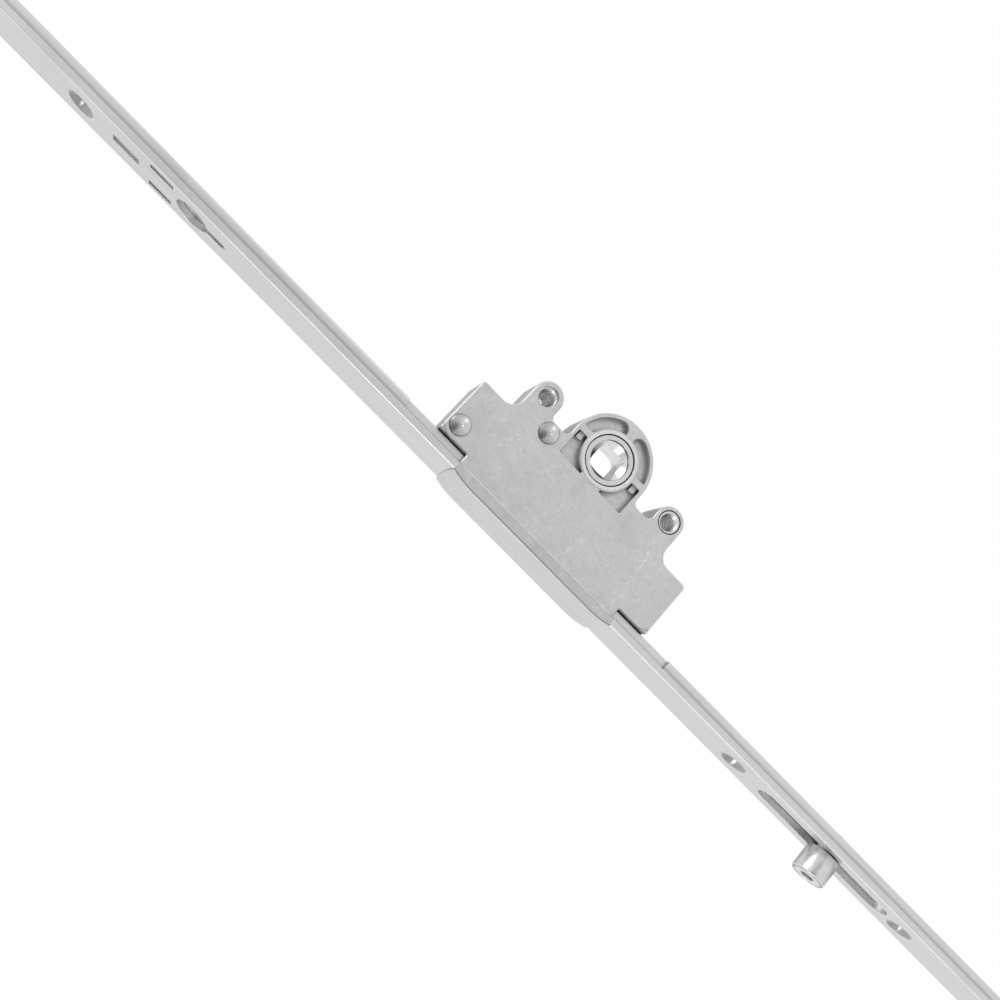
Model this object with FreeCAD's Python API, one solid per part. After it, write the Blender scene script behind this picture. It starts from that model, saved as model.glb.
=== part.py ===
import FreeCAD, Part
import os
from math import acos, atan2, cos, degrees, hypot, pi, radians, sin, sqrt, tan

# Window espagnolette with a 30 mm backset gearbox, in millimetres.
# Z runs along the rail and up the sash, X from the faceplate into the sash, Y across the rail.
# The origin is the middle of the square hole that the handle's spindle turns.
# The faceplate's front faces -X, and the gearbox face with the lightening pockets faces -Y.

V = FreeCAD.Vector
X_AXIS = V(1, 0, 0)
Y_AXIS = V(0, 1, 0)
Z_AXIS = V(0, 0, 1)

# Overall layout
BACKSET = 30.0
RAIL_LENGTH = 400.0
SCREW_SPACING = 43.0
STROKE_ANGLE = 90.0

# Fits and clearances
RUNNING_FIT = 0.05
PRESS_GAP = 0.01
SEAT_GAP = 0.05
SLIDE_GAP = 0.15
GEAR_ROOM = 0.4
CUT_OVER = 1.0
TOOTH_BACKLASH = 0.07

# Faceplates
FACE_WIDTH = 16.0
FACE_THICKNESS = 1.8
FACE_EDGE = 0.3
FACE_END_RADIUS = 1.0
TONGUE_WIDTH = 10.0
TONGUE_LENGTH = 6.4

# Holes of the upper faceplate
UPPER_SCREW_Z = 143.0
KEYHOLE_Z = 109.1
KEYHOLE_RADIUS = 4.75
KEYHOLE_TAIL_WIDTH = 2.5
KEYHOLE_TAIL_END_Z = 98.6
MIDDLE_SLIT_Z = 129.4
MIDDLE_SLIT_LENGTH = 8.0
MIDDLE_SLIT_WIDTH = 3.2
SIDE_SLIT_Z = 118.7
SIDE_SLIT_LENGTH = 7.0
SIDE_SLIT_WIDTH = 2.2
SIDE_SLIT_OFFSET = 5.1

# Holes of the lower faceplate
LOWER_SCREW_Z = (-76.2, -139.9)
CAM_SLOT_Z = -110.1
CAM_SLOT_LENGTH = 47.7
CAM_SLOT_WIDTH = 7.3

# Guide bushes, riveted into the faceplates round the screw holes
BUSH_BORE_RADIUS = 2.2
BUSH_SHANK_RADIUS = 2.95
BUSH_HEAD_RADIUS = 4.2
BUSH_HEAD_DEPTH = 1.25
BUSH_SINK_RADIUS = 3.75
BUSH_SINK_DEPTH = 1.5
BUSH_FLANGE_RADIUS = 3.9
BUSH_FLANGE_THICKNESS = 0.85

# Drive rods and the rack slider that joins them
ROD_WIDTH = 11.0
ROD_THICKNESS = 3.3
ROD_CORNER = 0.8
ROD_INNER_END_Z = 44.7
ROD_OUTER_END_Z = 178.0
SLIDER_WIDTH = 8.0
SLIDER_EDGE = 0.3
LAP_LENGTH = 8.8
LAP_THICKNESS = 1.4
ROD_RIVET_RADIUS = 1.25
ROD_RIVET_HEAD_RADIUS = 1.9
ROD_RIVET_HEAD_DEPTH = 0.7
ROD_RIVET_PITCH = 4.4

# Gear train: hub gear, stepped idler, rack
RACK_LINE_DEPTH = 4.0
PRESSURE_ANGLE = 20.0
HUB_TEETH = 18
PINION_TEETH = 15
WHEEL_TEETH = 19
RACK_GAPS = 15
ADDENDUM = 1.0
DEDENDUM = 1.25
GEAR_FRONT_Y = -2.8
HUB_GEAR_WIDTH = 3.0
GEAR_LAYER_GAP = 0.3
WHEEL_WIDTH = 3.4
AXLE_RADIUS = 2.0
AXLE_SEAT_FRONT = 1.6
AXLE_SEAT_BACK = 0.8

# Hub
SPINDLE_SQUARE = 7.0
SQUARE_CORNER = 0.4
SQUARE_LENGTH = 6.1
HUB_FRONT_RADIUS = 6.3
HUB_NECK_RADIUS = 5.6
HUB_DISH_RADIUS = 5.15
HUB_DISH_WALL = 1.2
HUB_DISH_DEPTH = 2.75
HUB_DISH_FLOOR_RADIUS = 3.4
HUB_BACK_RECESS_RADIUS = 5.05
HUB_END_GAP = 0.1
HUB_RIM_EDGE = 0.15

# Gearbox case
CASE_THICKNESS = 11.5
CASE_HALF_LENGTH = 35.4
CASE_SHOULDER_X = -8.7
CASE_CORNER = 0.9
EAR_CORNER = 0.4
HOUSING_WALL = 1.3
BOSS_RADIUS = 4.0
TOWER_FILLET = 3.4
SADDLE_X = -3.45
SADDLE_RADIUS = 1.6
CASE_EDGE = 0.3
COLLAR_RADIUS = 7.45
COLLAR_RISE = 0.15
COLLAR_GAP = 0.25
COLLAR_GAP_DEPTH = 1.0
BACK_WALL = 1.35

# Lightening pockets round the hub
POCKET_DEPTH = 2.0
POCKET_INNER_RADIUS = 7.75
POCKET_RIM = 1.0
POCKET_TOP_RIB = 2.3
POCKET_RIB_LOW_X = 0.2
POCKET_RIB_HIGH_X = 1.9
POCKET_BOTTOM_X = -7.8
POCKET_TIP_Z = 3.1
POCKET_CORNER = 0.5
POCKET_TIP_CORNER = 0.3
POCKET_TOP_CORNER = 2.0
POCKET_CORNER_SHARE = 0.7
POCKET_STEP_INSET = 0.6
POCKET_STEP_WIDTH = 1.6
POCKET_STEP_LENGTH = 1.7
POCKET_STEP_HEIGHT = 1.1

# Nose of the gearbox, level with the rail, and its cover
NOSE_HALF_LENGTH = 26.3
NOSE_OVERHANG = 0.1
NOSE_STEP = 0.1
NOSE_RISE = 0.85
NOSE_RAMP = 6.4
NOSE_FILLET = 1.2
COVER_THICKNESS = 0.45
COVER_OVERLAP = 0.55
COVER_END_BOW = 0.5
COVER_SEAM_Y = 2.5
COVER_SEAM_WIDTH = 0.16
COVER_SEAM_DEPTH = 0.15
COVER_PEG_RADIUS = 1.2
COVER_PEG_LENGTH = 1.6
COVER_PEG_Z = 12.0
COVER_PEG_Y = 5.0
TONGUE_PEG_INSET = 3.5

# Fasteners of the case
RIVET_SHANK_RADIUS = 1.5
RIVET_HEAD_RADIUS = 2.7
RIVET_HEAD_RISE = 1.0
RIVET_DIMPLE_RADIUS = 0.55
RIVET_DIMPLE_DEPTH = 0.25
EAR_RIVET_HEIGHT = 3.8
EAR_RIVET_INSET = 3.2
HUB_RIVET = (-6.4, 15.5)
PEG_RADIUS = 1.4
PEG_LENGTH = 3.0
INSERT_RADIUS = 3.05
INSERT_BORE_RADIUS = 2.25
INSERT_LENGTH = 10.7
INSERT_CHAMFER = 0.55
INSERT_LIP_RADIUS = 2.7
INSERT_RECESS = 0.1

# Roller cam on the lower rod
CAM_Z = -110.4
CAM_ECCENTRICITY = 0.6
CAM_SHANK_RADIUS = 2.2
CAM_TAIL_RADIUS = 2.6
CAM_TAIL_FLANGE = 0.7
CAM_TAIL_TIP_RADIUS = 1.7
CAM_TAIL_RISE = 1.2
CAM_TAIL_CHAMFER = 0.3
CAM_COLLAR_RADIUS = 3.2
CAM_JOURNAL_RADIUS = 2.9
CAM_HEAD_RADIUS = 3.7
CAM_HEAD_THICKNESS = 1.4
CAM_HEX_WIDTH = 3.6
CAM_HEX_DEPTH = 2.6
ROLLER_RADIUS = 4.7
ROLLER_LENGTH = 7.1
ROLLER_CHAMFER = 0.4
ROLLER_FACE_GAP = 0.1

# Places worked out from the sizes above
FACE_FRONT_X = -BACKSET
FACE_REAR_X = FACE_FRONT_X + FACE_THICKNESS
ROD_FRONT_X = FACE_REAR_X + SEAT_GAP
ROD_REAR_X = ROD_FRONT_X + ROD_THICKNESS
NOSE_REAR_X = FACE_REAR_X - NOSE_STEP
EAR_BOTTOM_X = ROD_REAR_X + SLIDE_GAP
EAR_RIVET = (EAR_BOTTOM_X + EAR_RIVET_HEIGHT, CASE_HALF_LENGTH - EAR_RIVET_INSET)
CASE_FRONT_Y = -CASE_THICKNESS / 2
CASE_BACK_Y = CASE_THICKNESS / 2
BOSS_Z = SCREW_SPACING / 2
BODY_HALF_LENGTH = NOSE_HALF_LENGTH - NOSE_OVERHANG
NOSE_FLAT_HALF_LENGTH = NOSE_HALF_LENGTH - NOSE_RAMP
COVER_HALF_LENGTH = NOSE_HALF_LENGTH + COVER_OVERLAP
TONGUE_PEG_Z = NOSE_HALF_LENGTH - TONGUE_PEG_INSET
MODULE = (BACKSET - RACK_LINE_DEPTH) * 2 / (HUB_TEETH + PINION_TEETH + WHEEL_TEETH)
HUB_PITCH_RADIUS = MODULE * HUB_TEETH / 2
PINION_PITCH_RADIUS = MODULE * PINION_TEETH / 2
WHEEL_PITCH_RADIUS = MODULE * WHEEL_TEETH / 2
HUB_ROOM_RADIUS = HUB_PITCH_RADIUS + ADDENDUM * MODULE + GEAR_ROOM
HUB_HOUSING_RADIUS = HUB_ROOM_RADIUS + HOUSING_WALL
POCKET_OUTER_RADIUS = HUB_HOUSING_RADIUS - POCKET_RIM
POCKET_STEP_OUTER_Z = POCKET_OUTER_RADIUS - POCKET_STEP_INSET
POCKET_STEP_INNER_Z = POCKET_STEP_OUTER_Z - POCKET_STEP_WIDTH
IDLER_X = -(HUB_PITCH_RADIUS + PINION_PITCH_RADIUS)
RACK_PITCH_X = IDLER_X - WHEEL_PITCH_RADIUS
RACK_TIP_X = RACK_PITCH_X + ADDENDUM * MODULE
RACK_ROOT_X = RACK_PITCH_X - DEDENDUM * MODULE
STROKE = radians(STROKE_ANGLE) * HUB_PITCH_RADIUS * WHEEL_PITCH_RADIUS / PINION_PITCH_RADIUS
HUB_GEAR_BACK_Y = GEAR_FRONT_Y + HUB_GEAR_WIDTH
WHEEL_FRONT_Y = HUB_GEAR_BACK_Y + GEAR_LAYER_GAP
WHEEL_BACK_Y = WHEEL_FRONT_Y + WHEEL_WIDTH
CAVITY_FRONT_Y = GEAR_FRONT_Y - GEAR_LAYER_GAP
CAVITY_BACK_Y = CASE_BACK_Y - BACK_WALL
NOSE_FRONT_X = FACE_FRONT_X - NOSE_RISE
STUD_Z = CAM_Z - CAM_ECCENTRICITY
BUSH_REAR_X = ROD_REAR_X - SEAT_GAP


def prism(face, direction):
    """Extrude a flat face into a solid."""
    return face.extrude(direction)


def block(x0, x1, y0, y1, z0, z1):
    """Box between two corners."""
    return Part.makeBox(x1 - x0, y1 - y0, z1 - z0, V(x0, y0, z0))


def cylinder_x(radius, x0, x1, y=0.0, z=0.0):
    return Part.makeCylinder(radius, x1 - x0, V(x0, y, z), X_AXIS)


def cylinder_y(radius, y0, y1, x=0.0, z=0.0):
    return Part.makeCylinder(radius, y1 - y0, V(x, y0, z), Y_AXIS)


def joined(solids):
    """Fuse solids into one and merge the faces that lie in one plane."""
    return solids[0].fuse(solids[1:]).removeSplitter()


def clean(shape):
    """The single solid of a boolean result."""
    return shape.removeSplitter().Solids[0]


def rounded_wire(corners, place):
    """Closed wire of straight lines with a tangent arc at each corner (a, b, radius)."""
    tangents = []
    count = len(corners)
    for index in range(count):
        a, b, radius = corners[index]
        before = corners[index - 1]
        after = corners[(index + 1) % count]
        to_before = (before[0] - a, before[1] - b)
        to_after = (after[0] - a, after[1] - b)
        length_before = hypot(*to_before)
        length_after = hypot(*to_after)
        unit_before = (to_before[0] / length_before, to_before[1] / length_before)
        unit_after = (to_after[0] / length_after, to_after[1] / length_after)
        dot = unit_before[0] * unit_after[0] + unit_before[1] * unit_after[1]
        half_angle = acos(max(-1.0, min(1.0, dot))) / 2
        reach = radius / tan(half_angle)
        bisector = (unit_before[0] + unit_after[0], unit_before[1] + unit_after[1])
        bisector_length = hypot(*bisector)
        middle_distance = radius / sin(half_angle) - radius
        start = place(a + unit_before[0] * reach, b + unit_before[1] * reach)
        end = place(a + unit_after[0] * reach, b + unit_after[1] * reach)
        middle = place(a + bisector[0] / bisector_length * middle_distance,
                       b + bisector[1] / bisector_length * middle_distance)
        tangents.append((start, middle, end, radius))
    edges = []
    for index in range(count):
        start, middle, end, radius = tangents[index]
        if radius > 0:
            edges.append(Part.Arc(start, middle, end).toShape())
        next_start = tangents[(index + 1) % count][0]
        if end.distanceToPoint(next_start) > 1e-6:
            edges.append(Part.makeLine(end, next_start))
    return Part.Wire(edges)


def rounded_face(corners, place):
    return Part.Face(rounded_wire(corners, place))


def in_xz(y):
    """Placer for outlines drawn in the plane across Y, at depth y."""
    return lambda x, z: V(x, y, z)


def in_yz(x):
    """Placer for outlines drawn in the plane across X, at depth x."""
    return lambda y, z: V(x, y, z)


def in_xy(z):
    """Placer for outlines drawn in the plane across Z, at height z."""
    return lambda x, y: V(x, y, z)


def turned_x(points, y=0.0, z=0.0):
    """Solid turned about an axis along X, from (x, radius) points."""
    wire = Part.makePolygon([V(x, y + radius, z) for x, radius in points + points[:1]])
    return Part.Face(wire).revolve(V(0, y, z), X_AXIS, 360)


def turned_y(points, x=0.0, z=0.0):
    """Solid turned about an axis along Y, from (y, radius) points."""
    wire = Part.makePolygon([V(x + radius, y, z) for y, radius in points + points[:1]])
    return Part.Face(wire).revolve(V(x, 0, z), Y_AXIS, 360)


def slot_x(width, z0, z1, x0, x1, y=0.0):
    """Round-ended slot cutter that runs along Z and goes through along X."""
    half = width / 2
    corners = [(y - half, z0, half), (y + half, z0, half), (y + half, z1, half), (y - half, z1, half)]
    return prism(rounded_face(corners, in_yz(x0)), V(x1 - x0, 0, 0))


def chamfer_edges(solid, size, wanted):
    """Chamfer the edges of a solid that a test picks."""
    return solid.makeChamfer(size, [edge for edge in solid.Edges if wanted(edge)])


def lies_at(edge, axis, value):
    """True when the whole edge lies at one coordinate, such as y = 3."""
    box = edge.BoundBox
    low = (box.XMin, box.YMin, box.ZMin)[axis]
    high = (box.XMax, box.YMax, box.ZMax)[axis]
    return abs(low - value) < 1e-4 and abs(high - value) < 1e-4


# Gears


def involute_point(base_radius, radius, offset_angle):
    """Point of the involute of a base circle at a radius, turned by an angle."""
    roll = sqrt(max((radius / base_radius) ** 2 - 1, 0.0))
    angle = roll - atan2(roll, 1) + offset_angle
    return radius * cos(angle), radius * sin(angle)


def tooth_half_angle(teeth):
    """Half of a tooth's angle on the pitch circle, less the backlash."""
    pitch_radius = MODULE * teeth / 2
    return pi / (2 * teeth) - TOOTH_BACKLASH / (2 * pitch_radius)


def gear_wire(teeth, centre_x, tooth_angle, y):
    """Outline of an involute gear whose first tooth points at an angle from +X towards +Z."""
    pitch_radius = MODULE * teeth / 2
    base_radius = pitch_radius * cos(radians(PRESSURE_ANGLE))
    tip_radius = pitch_radius + ADDENDUM * MODULE
    root_radius = pitch_radius - DEDENDUM * MODULE
    flank_start = max(base_radius, root_radius)
    involute_at_pitch = tan(radians(PRESSURE_ANGLE)) - radians(PRESSURE_ANGLE)
    flank_angle = tooth_half_angle(teeth) + involute_at_pitch
    radii = [flank_start, (flank_start + tip_radius) / 2, tip_radius]
    rising = [involute_point(base_radius, radius, -flank_angle) for radius in radii]
    root_half_angle = flank_angle
    edges = []

    def turned(point, angle):
        a, b = point
        return V(centre_x + a * cos(angle) - b * sin(angle), y, a * sin(angle) + b * cos(angle))

    def polar(radius, angle):
        return turned((radius, 0), angle)

    for tooth in range(teeth):
        centre = tooth_angle + 2 * pi * tooth / teeth
        up = [turned(point, centre) for point in rising]
        down = [turned((a, -b), centre) for a, b in reversed(rising)]
        foot = polar(root_radius, centre - root_half_angle)
        if foot.distanceToPoint(up[0]) > 1e-6:
            edges.append(Part.makeLine(foot, up[0]))
        edges.append(Part.Arc(*up).toShape())
        edges.append(Part.Arc(up[-1], polar(tip_radius, centre), down[0]).toShape())
        edges.append(Part.Arc(*down).toShape())
        heel = polar(root_radius, centre + root_half_angle)
        if heel.distanceToPoint(down[-1]) > 1e-6:
            edges.append(Part.makeLine(down[-1], heel))
        next_foot = polar(root_radius, centre + 2 * pi / teeth - root_half_angle)
        edges.append(Part.Arc(heel, polar(root_radius, centre + pi / teeth), next_foot).toShape())
    return Part.Wire(edges)


def gear(teeth, centre_x, tooth_angle, y0, y1):
    """Involute gear between two depths."""
    return prism(Part.Face(gear_wire(teeth, centre_x, tooth_angle, y0)), V(0, y1 - y0, 0))


def rack_gap_cutter(y0, y1):
    """Cutter for one tooth gap of the rack, centred on Z = 0."""
    slope = tan(radians(PRESSURE_ANGLE))
    half_gap = pi * MODULE / 4 + TOOTH_BACKLASH / 2
    over = ADDENDUM * MODULE + SLIDE_GAP
    root = DEDENDUM * MODULE
    top_half = half_gap + over * slope
    root_half = half_gap - root * slope
    points = [V(RACK_PITCH_X + over, y0, -top_half),
              V(RACK_PITCH_X + over, y0, top_half),
              V(RACK_PITCH_X - root, y0, root_half),
              V(RACK_PITCH_X - root, y0, -root_half)]
    return prism(Part.Face(Part.makePolygon(points + points[:1])), V(0, y1 - y0, 0))


# Rail


def faceplate_blank(z_inner, z_outer):
    """Steel strip with rounded front edges and a tongue that goes under the nose cover."""
    low = min(z_inner, z_outer)
    high = max(z_inner, z_outer)
    half = FACE_WIDTH / 2
    section = rounded_face([(FACE_REAR_X, -half, 0), (FACE_REAR_X, half, 0),
                            (FACE_FRONT_X, half, FACE_EDGE), (FACE_FRONT_X, -half, FACE_EDGE)], in_xy(low))
    strip = prism(section, V(0, 0, high - low))
    end_radii = (0, FACE_END_RADIUS) if z_outer > z_inner else (FACE_END_RADIUS, 0)
    plan = [(-half, low, end_radii[0]), (half, low, end_radii[0]),
            (half, high, end_radii[1]), (-half, high, end_radii[1])]
    strip = strip.common(prism(rounded_face(plan, in_yz(FACE_FRONT_X)), V(FACE_THICKNESS, 0, 0)))
    side = 1 if z_inner > 0 else -1
    tongue_ends = sorted((side * (abs(z_inner) - TONGUE_LENGTH), z_inner))
    tongue = block(FACE_FRONT_X, FACE_REAR_X, -TONGUE_WIDTH / 2, TONGUE_WIDTH / 2, *tongue_ends)
    peg_hole = cylinder_x(COVER_PEG_RADIUS + SEAT_GAP, FACE_FRONT_X - CUT_OVER, FACE_REAR_X + CUT_OVER,
                          0, side * TONGUE_PEG_Z)
    return joined([strip, tongue]).cut(peg_hole)


def bush_hole(z):
    """Countersunk hole that a guide bush is riveted into."""
    points = [(FACE_FRONT_X - CUT_OVER, 0), (FACE_FRONT_X - CUT_OVER, BUSH_HEAD_RADIUS + PRESS_GAP),
              (FACE_FRONT_X, BUSH_HEAD_RADIUS + PRESS_GAP),
              (FACE_FRONT_X + BUSH_HEAD_DEPTH, BUSH_SHANK_RADIUS + PRESS_GAP),
              (FACE_REAR_X + CUT_OVER, BUSH_SHANK_RADIUS + PRESS_GAP), (FACE_REAR_X + CUT_OVER, 0)]
    return turned_x(points, 0, z)


def faceplate_upper():
    plate = faceplate_blank(NOSE_HALF_LENGTH + SEAT_GAP, RAIL_LENGTH / 2)
    through = (FACE_FRONT_X - CUT_OVER, FACE_REAR_X + CUT_OVER)
    cutters = [bush_hole(UPPER_SCREW_Z)]
    cutters.append(cylinder_x(KEYHOLE_RADIUS, *through, 0, KEYHOLE_Z))
    cutters.append(slot_x(KEYHOLE_TAIL_WIDTH, KEYHOLE_TAIL_END_Z, KEYHOLE_Z, *through))
    slit_low = MIDDLE_SLIT_Z - MIDDLE_SLIT_LENGTH / 2
    half_width = MIDDLE_SLIT_WIDTH / 2
    cutters.append(block(*through, -half_width, half_width, slit_low, slit_low + MIDDLE_SLIT_LENGTH))
    side_low = SIDE_SLIT_Z - SIDE_SLIT_LENGTH / 2
    for side in (-1, 1):
        middle = side * SIDE_SLIT_OFFSET
        cutters.append(block(*through, middle - SIDE_SLIT_WIDTH / 2, middle + SIDE_SLIT_WIDTH / 2,
                             side_low, side_low + SIDE_SLIT_LENGTH))
    return clean(plate.cut(cutters))


def faceplate_lower():
    plate = faceplate_blank(-NOSE_HALF_LENGTH - SEAT_GAP, -RAIL_LENGTH / 2)
    cutters = [bush_hole(z) for z in LOWER_SCREW_Z]
    cutters.append(slot_x(CAM_SLOT_WIDTH, CAM_SLOT_Z - CAM_SLOT_LENGTH / 2, CAM_SLOT_Z + CAM_SLOT_LENGTH / 2,
                          FACE_FRONT_X - CUT_OVER, FACE_REAR_X + CUT_OVER))
    return clean(plate.cut(cutters))


def guide_bush(z):
    """Zinc bush that takes a screw and keeps the sliding rod against the faceplate."""
    flange_x = BUSH_REAR_X - BUSH_FLANGE_THICKNESS
    points = [(FACE_FRONT_X, BUSH_SINK_RADIUS), (FACE_FRONT_X, BUSH_HEAD_RADIUS),
              (FACE_FRONT_X + BUSH_HEAD_DEPTH, BUSH_SHANK_RADIUS), (flange_x, BUSH_SHANK_RADIUS),
              (flange_x, BUSH_FLANGE_RADIUS), (BUSH_REAR_X, BUSH_FLANGE_RADIUS),
              (BUSH_REAR_X, BUSH_BORE_RADIUS), (FACE_FRONT_X + BUSH_SINK_DEPTH, BUSH_BORE_RADIUS)]
    return turned_x(points, 0, z)


def rod_guide_slot(z):
    """Long slot in a rod for a guide bush, stepped so that the bush's flange runs flush."""
    step_x = BUSH_REAR_X - BUSH_FLANGE_THICKNESS - SLIDE_GAP
    shank_half = BUSH_SHANK_RADIUS + SLIDE_GAP
    flange_half = BUSH_FLANGE_RADIUS + SLIDE_GAP
    travel = STROKE + SLIDE_GAP
    shank_slot = slot_x(2 * shank_half, z - travel - shank_half, z + travel + shank_half,
                        ROD_FRONT_X - CUT_OVER, ROD_REAR_X + CUT_OVER)
    flange_slot = slot_x(2 * flange_half, z - travel - flange_half, z + travel + flange_half,
                         step_x, ROD_REAR_X + CUT_OVER)
    return shank_slot.fuse(flange_slot)


def rod_rivet_places(side):
    """Heights of the two rivets that join a rod to the slider."""
    first = ROD_INNER_END_Z + (LAP_LENGTH - ROD_RIVET_PITCH) / 2
    return [side * first, side * (first + ROD_RIVET_PITCH)]


def rod_rivet_profile(gap):
    head_x = ROD_REAR_X - ROD_RIVET_HEAD_DEPTH
    return [(ROD_FRONT_X, 0), (ROD_FRONT_X, ROD_RIVET_RADIUS + gap), (head_x, ROD_RIVET_RADIUS + gap),
            (ROD_REAR_X, ROD_RIVET_HEAD_RADIUS + gap), (ROD_REAR_X, 0)]


def drive_rod(side, guide_heights):
    """Flat steel rod with rounded rear edges, a lap for the slider and its guide slots."""
    half = ROD_WIDTH / 2
    low, high = sorted((side * ROD_INNER_END_Z, side * ROD_OUTER_END_Z))
    section = rounded_face([(ROD_FRONT_X, -half, SLIDER_EDGE), (ROD_FRONT_X, half, SLIDER_EDGE),
                            (ROD_REAR_X, half, ROD_CORNER), (ROD_REAR_X, -half, ROD_CORNER)], in_xy(low))
    rod = prism(section, V(0, 0, high - low))
    lap_half = SLIDER_WIDTH / 2 + SEAT_GAP
    lap_ends = sorted((side * (ROD_INNER_END_Z - CUT_OVER), side * (ROD_INNER_END_Z + LAP_LENGTH + SEAT_GAP)))
    lap_x = ROD_FRONT_X + LAP_THICKNESS + SEAT_GAP
    cutters = [block(ROD_FRONT_X - CUT_OVER, lap_x, -lap_half, lap_half, *lap_ends)]
    cutters += [turned_x(rod_rivet_profile(PRESS_GAP), 0, z) for z in rod_rivet_places(side)]
    cutters += [rod_guide_slot(z) for z in guide_heights]
    return rod.cut(cutters)


def drive_rod_upper():
    return clean(drive_rod(1, [UPPER_SCREW_Z]))


def drive_rod_lower():
    rod = drive_rod(-1, LOWER_SCREW_Z)
    stud_hole = cylinder_x(CAM_SHANK_RADIUS + RUNNING_FIT, ROD_FRONT_X - CUT_OVER, ROD_REAR_X + CUT_OVER,
                           0, STUD_Z)
    return clean(rod.cut(stud_hole))


def rod_rivets():
    places = rod_rivet_places(1) + rod_rivet_places(-1)
    return Part.makeCompound([turned_x(rod_rivet_profile(0), 0, z) for z in places])


def rack_slider():
    """Bar that runs through the nose, with the rack on its back and a lap at each end."""
    half = SLIDER_WIDTH / 2
    section = rounded_face([(ROD_FRONT_X, -half, SLIDER_EDGE), (ROD_FRONT_X, half, SLIDER_EDGE),
                            (ROD_REAR_X, half, SLIDER_EDGE), (ROD_REAR_X, -half, SLIDER_EDGE)],
                           in_xy(-ROD_INNER_END_Z))
    bar = prism(section, V(0, 0, 2 * ROD_INNER_END_Z))
    lap_end = ROD_INNER_END_Z + LAP_LENGTH
    lap = block(ROD_FRONT_X, ROD_FRONT_X + LAP_THICKNESS, -half, half, -lap_end, lap_end)
    rack_half_length = RACK_GAPS * pi * MODULE / 2
    rack_edge_y = WHEEL_FRONT_Y - SLIDE_GAP
    pinion_relief_x = IDLER_X - PINION_PITCH_RADIUS - ADDENDUM * MODULE - GEAR_ROOM
    relief = block(pinion_relief_x, ROD_REAR_X + CUT_OVER, -half - CUT_OVER, rack_edge_y,
                   -rack_half_length, rack_half_length)
    rack_land = block(RACK_TIP_X, ROD_REAR_X + CUT_OVER, rack_edge_y, half + CUT_OVER,
                      -rack_half_length, rack_half_length)
    gap = rack_gap_cutter(rack_edge_y, half + CUT_OVER)
    gaps = [gap.translated(V(0, 0, (index - (RACK_GAPS - 1) / 2) * pi * MODULE)) for index in range(RACK_GAPS)]
    rivet_holes = [cylinder_x(ROD_RIVET_RADIUS + PRESS_GAP, ROD_FRONT_X - CUT_OVER, ROD_REAR_X + CUT_OVER,
                              0, z)
                   for z in rod_rivet_places(1) + rod_rivet_places(-1)]
    return clean(joined([bar, lap]).cut([relief, rack_land] + gaps + rivet_holes))


# Gearbox


def case_outline():
    """Corners of the case seen along Y: hub housing, bosses, shoulders, ears and body."""
    boss_outer = BOSS_Z + BOSS_RADIUS
    boss_inner = BOSS_Z - BOSS_RADIUS
    upper = [(HUB_HOUSING_RADIUS, HUB_HOUSING_RADIUS, HUB_HOUSING_RADIUS),
             (SADDLE_X, HUB_HOUSING_RADIUS, SADDLE_RADIUS),
             (SADDLE_X, boss_inner, SADDLE_RADIUS),
             (BOSS_RADIUS, boss_inner, BOSS_RADIUS),
             (BOSS_RADIUS, boss_outer, BOSS_RADIUS),
             (CASE_SHOULDER_X, boss_outer, TOWER_FILLET),
             (CASE_SHOULDER_X, CASE_HALF_LENGTH, CASE_CORNER),
             (EAR_BOTTOM_X, CASE_HALF_LENGTH, EAR_CORNER),
             (EAR_BOTTOM_X, BODY_HALF_LENGTH, EAR_CORNER),
             (NOSE_REAR_X, BODY_HALF_LENGTH, 0)]
    lower = [(x, -z, radius) for x, z, radius in reversed(upper)]
    return upper + lower


def crown_face(rise, half_length, y):
    """Side view of the nose: a flat top with a tangent arc down to each end."""
    flat = NOSE_FLAT_HALF_LENGTH
    run = NOSE_HALF_LENGTH - flat
    arc_radius = (run ** 2 + NOSE_RISE ** 2) / (2 * NOSE_RISE) + rise
    reach = half_length - flat
    drop = arc_radius - sqrt(arc_radius ** 2 - reach ** 2)
    half_reach = reach / 2
    half_drop = arc_radius - sqrt(arc_radius ** 2 - half_reach ** 2)
    top = NOSE_FRONT_X - rise
    edges = []
    for side in (1, -1):
        flat_end = V(top, y, side * flat)
        middle = V(top + half_drop, y, side * (flat + half_reach))
        end = V(top + drop, y, side * half_length)
        edges.append(Part.Arc(flat_end, middle, end).toShape())
        edges.append(Part.makeLine(end, V(NOSE_REAR_X, y, side * half_length)))
    edges.append(Part.makeLine(V(top, y, flat), V(top, y, -flat)))
    edges.append(Part.makeLine(V(NOSE_REAR_X, y, half_length), V(NOSE_REAR_X, y, -half_length)))
    return Part.Face(Part.Wire(Part.__sortEdges__(edges)))


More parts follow.
